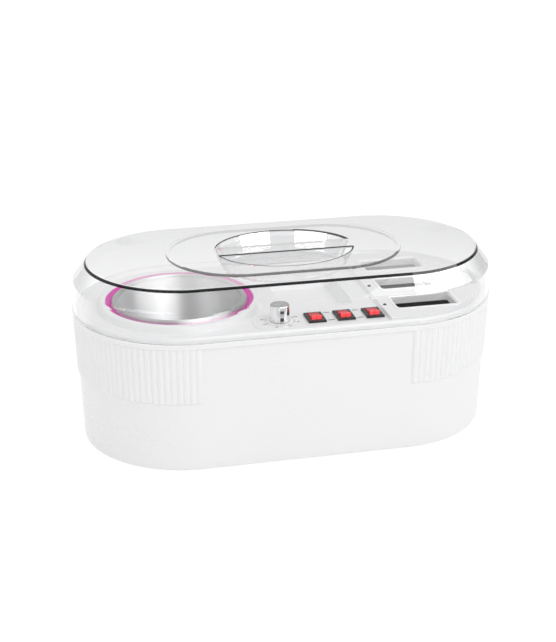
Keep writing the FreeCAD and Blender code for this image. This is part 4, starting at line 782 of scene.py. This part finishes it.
def stadium_group():
    """Distance of a point from a stadium's spine: the length of (max(|x| - half, 0), y)."""
    tree = bpy.data.node_groups.new("Stadium radius", "ShaderNodeTree")
    half = tree.interface.new_socket(name="Half", in_out="INPUT", socket_type="NodeSocketFloat")
    half.default_value = LID_HALF
    tree.interface.new_socket(name="Radius", in_out="OUTPUT", socket_type="NodeSocketFloat")
    given = tree.nodes.new("NodeGroupInput")
    result = tree.nodes.new("NodeGroupOutput")
    x, y, _ = axes_of(tree)
    past = combined(tree, "SUBTRACT", combined(tree, "ABSOLUTE", x), given.outputs["Half"])
    feed(tree, length_of(tree, combined(tree, "MAXIMUM", past, 0.0), y), result.inputs["Radius"])
    return tree


STADIUM = stadium_group()


def stadium_radius(tree, half):
    """The stadium group's distance for a spine of a given half length."""
    node = tree.nodes.new("ShaderNodeGroup")
    node.node_tree = STADIUM
    node.inputs["Half"].default_value = half
    return node.outputs["Radius"]


def grip_ring(tree):
    """Place of a point against the grip's ellipse: 1 on its rim and less inside."""
    x, y, _ = axes_of(tree)
    return length_of(tree, combined(tree, "DIVIDE", x, GRIP_HALF[0]),
                     combined(tree, "DIVIDE", y, GRIP_HALF[1]))


def painted_edge_shade(tree):
    """Mask of the painted shade lines: the slope just outside the top's edge and the wall of the
    raised oval's step, with a little of the oval's face beside it in front."""
    _, y, z = axes_of(tree)
    edge = all_of(tree, between(tree, stadium_radius(tree, LID_HALF), LID_EDGE_RADIUS + 0.25 * MM,
                                LID_EDGE_RADIUS + 1.75 * MM, 0.25 * MM),
                  combined(tree, "GREATER_THAN", z, LID_EDGE_LEVEL - 3.0 * MM))
    oval = stadium_radius(tree, OVAL_HALF)
    face = all_of(tree, combined(tree, "LESS_THAN", y, OVAL_LINE_START),
                  between(tree, oval, OVAL_RADIUS - 1.2 * MM, OVAL_RADIUS, 0.2 * MM))
    wall = between(tree, oval, OVAL_RADIUS - 0.1 * MM, OVAL_RADIUS + 0.4 * MM, 0.2 * MM)
    raised = combined(tree, "GREATER_THAN", z, LID_EDGE_LEVEL + 0.3 * MM)
    return any_of(tree, edge, all_of(tree, any_of(tree, face, wall), raised, OVAL_LINE_DARK))


def painted_grip_shade(tree):
    """Mask of the painted shade lines on the rim of the grip's ellipse, broader in front and at the
    far right, and on the two edges of its bar, of which the near one is broader."""
    x, y, z = axes_of(tree)
    ring = grip_ring(tree)
    in_front = combined(tree, "LESS_THAN", y, 0.0)
    far_right = all_of(tree, combined(tree, "GREATER_THAN", y, 0.0),
                       combined(tree, "GREATER_THAN", x, FAR_LINE_START))
    rim = any_of(tree, between(tree, ring, 0.992, 1.004, RIM_SOFT),
                 all_of(tree, in_front, between(tree, ring, 1.0, 1.02, RIM_SOFT)),
                 all_of(tree, far_right, between(tree, ring, 1.0, 1.04, RIM_SOFT)))
    beside_bar = combined(tree, "GREATER_THAN", combined(tree, "ABSOLUTE", y),
                          GRIP_BAR_HALF - 0.4 * MM)
    far_edge = between(tree, y, GRIP_BAR_HALF - 0.1 * MM, GRIP_BAR_HALF + 0.2 * MM, 0.2 * MM)
    near_edge = between(tree, y, -GRIP_BAR_HALF - 0.5 * MM, -GRIP_BAR_HALF + 1.2 * MM, 0.4 * MM)
    bar = all_of(tree, any_of(tree, far_edge, near_edge), combined(tree, "LESS_THAN", ring, 1.0))
    return all_of(tree, any_of(tree, all_of(tree, rim, beside_bar), bar),
                  combined(tree, "GREATER_THAN", z, LID_TOP - 0.7 * MM))


def recess_wall(tree):
    """Mask of the far wall of the grip's recess: inside the ellipse, behind the bar and below
    the top's face. It places the grey tint of painted shade and part of the thin gloss."""
    _, y, z = axes_of(tree)
    return all_of(tree, combined(tree, "GREATER_THAN", y, GRIP_BAR_HALF + 1.0 * MM),
                  combined(tree, "LESS_THAN", grip_ring(tree), 1.0),
                  between(tree, z, RECESS_LOW, RECESS_HIGH, 0.3 * MM))


def clear_plastic():
    """Clear plastic that refracts. Its outer corners carry painted shade, dark lines where they
    are seen from outside, and the far wall of the grip's recess is tinted grey as painted shade.
    A thin gloss lies on the shoulder and high in the recess, and a strong one on every face seen
    at a grazing angle. Rays that carry light or come off gloss pass it straight."""
    material, tree, shader = new_material("clear lid plastic")
    side = tree.nodes.new("ShaderNodeNewGeometry")
    outside = combined(tree, "SUBTRACT", 1.0, side.outputs["Backfacing"])
    # painted shade lines on the outer corners, seen from outside
    lines = all_of(tree, any_of(tree, painted_edge_shade(tree), painted_grip_shade(tree)), outside)
    # painted shade: the recess's far wall is tinted grey
    recess = recess_wall(tree)
    feed(tree, blended(tree, lines, blended(tree, recess, CLEAR, RECESS_PAINTED_SHADE), CORNER_PAINTED_SHADE),
         shader.inputs["Base Color"])
    shader.inputs["Roughness"].default_value = 0.0
    shader.inputs["IOR"].default_value = 1.2
    shader.inputs["Transmission Weight"].default_value = 1.0
    look = tree.nodes.new("ShaderNodeLayerWeight")
    grazing = mapped(tree, look.outputs["Facing"], GRAZING, smooth=True)
    z = axes_of(tree)[2]
    shoulder = between(tree, z, SHOULDER_LOW, SHOULDER_HIGH, 0.2 * MM)
    recess_gloss = all_of(tree, recess, combined(tree, "GREATER_THAN", z, RECESS_GLOSS_LOW))
    gloss = any_of(tree, grazing, all_of(tree, any_of(tree, shoulder, recess_gloss), CLEAR_GLOSS))
    feed(tree, all_of(tree, gloss, combined(tree, "SUBTRACT", outside, lines)),
         shader.inputs["Coat Weight"])
    shader.inputs["Coat IOR"].default_value = 4.0
    shader.inputs["Coat Roughness"].default_value = 0.0
    path = tree.nodes.new("ShaderNodeLightPath")
    off_gloss = combined(tree, "GREATER_THAN", path.outputs["Is Glossy Ray"],
                         path.outputs["Is Transmission Ray"])
    straight = any_of(tree, path.outputs["Is Shadow Ray"], path.outputs["Is Diffuse Ray"], off_gloss)
    through = tree.nodes.new("ShaderNodeBsdfTransparent")
    through.inputs["Color"].default_value = grey(0.97)
    feed(tree, picked(tree, straight, shader.outputs[0], through.outputs[0]),
         tree.nodes["Material Output"].inputs["Surface"])
    return material


dress(clear_plastic(), "lid")
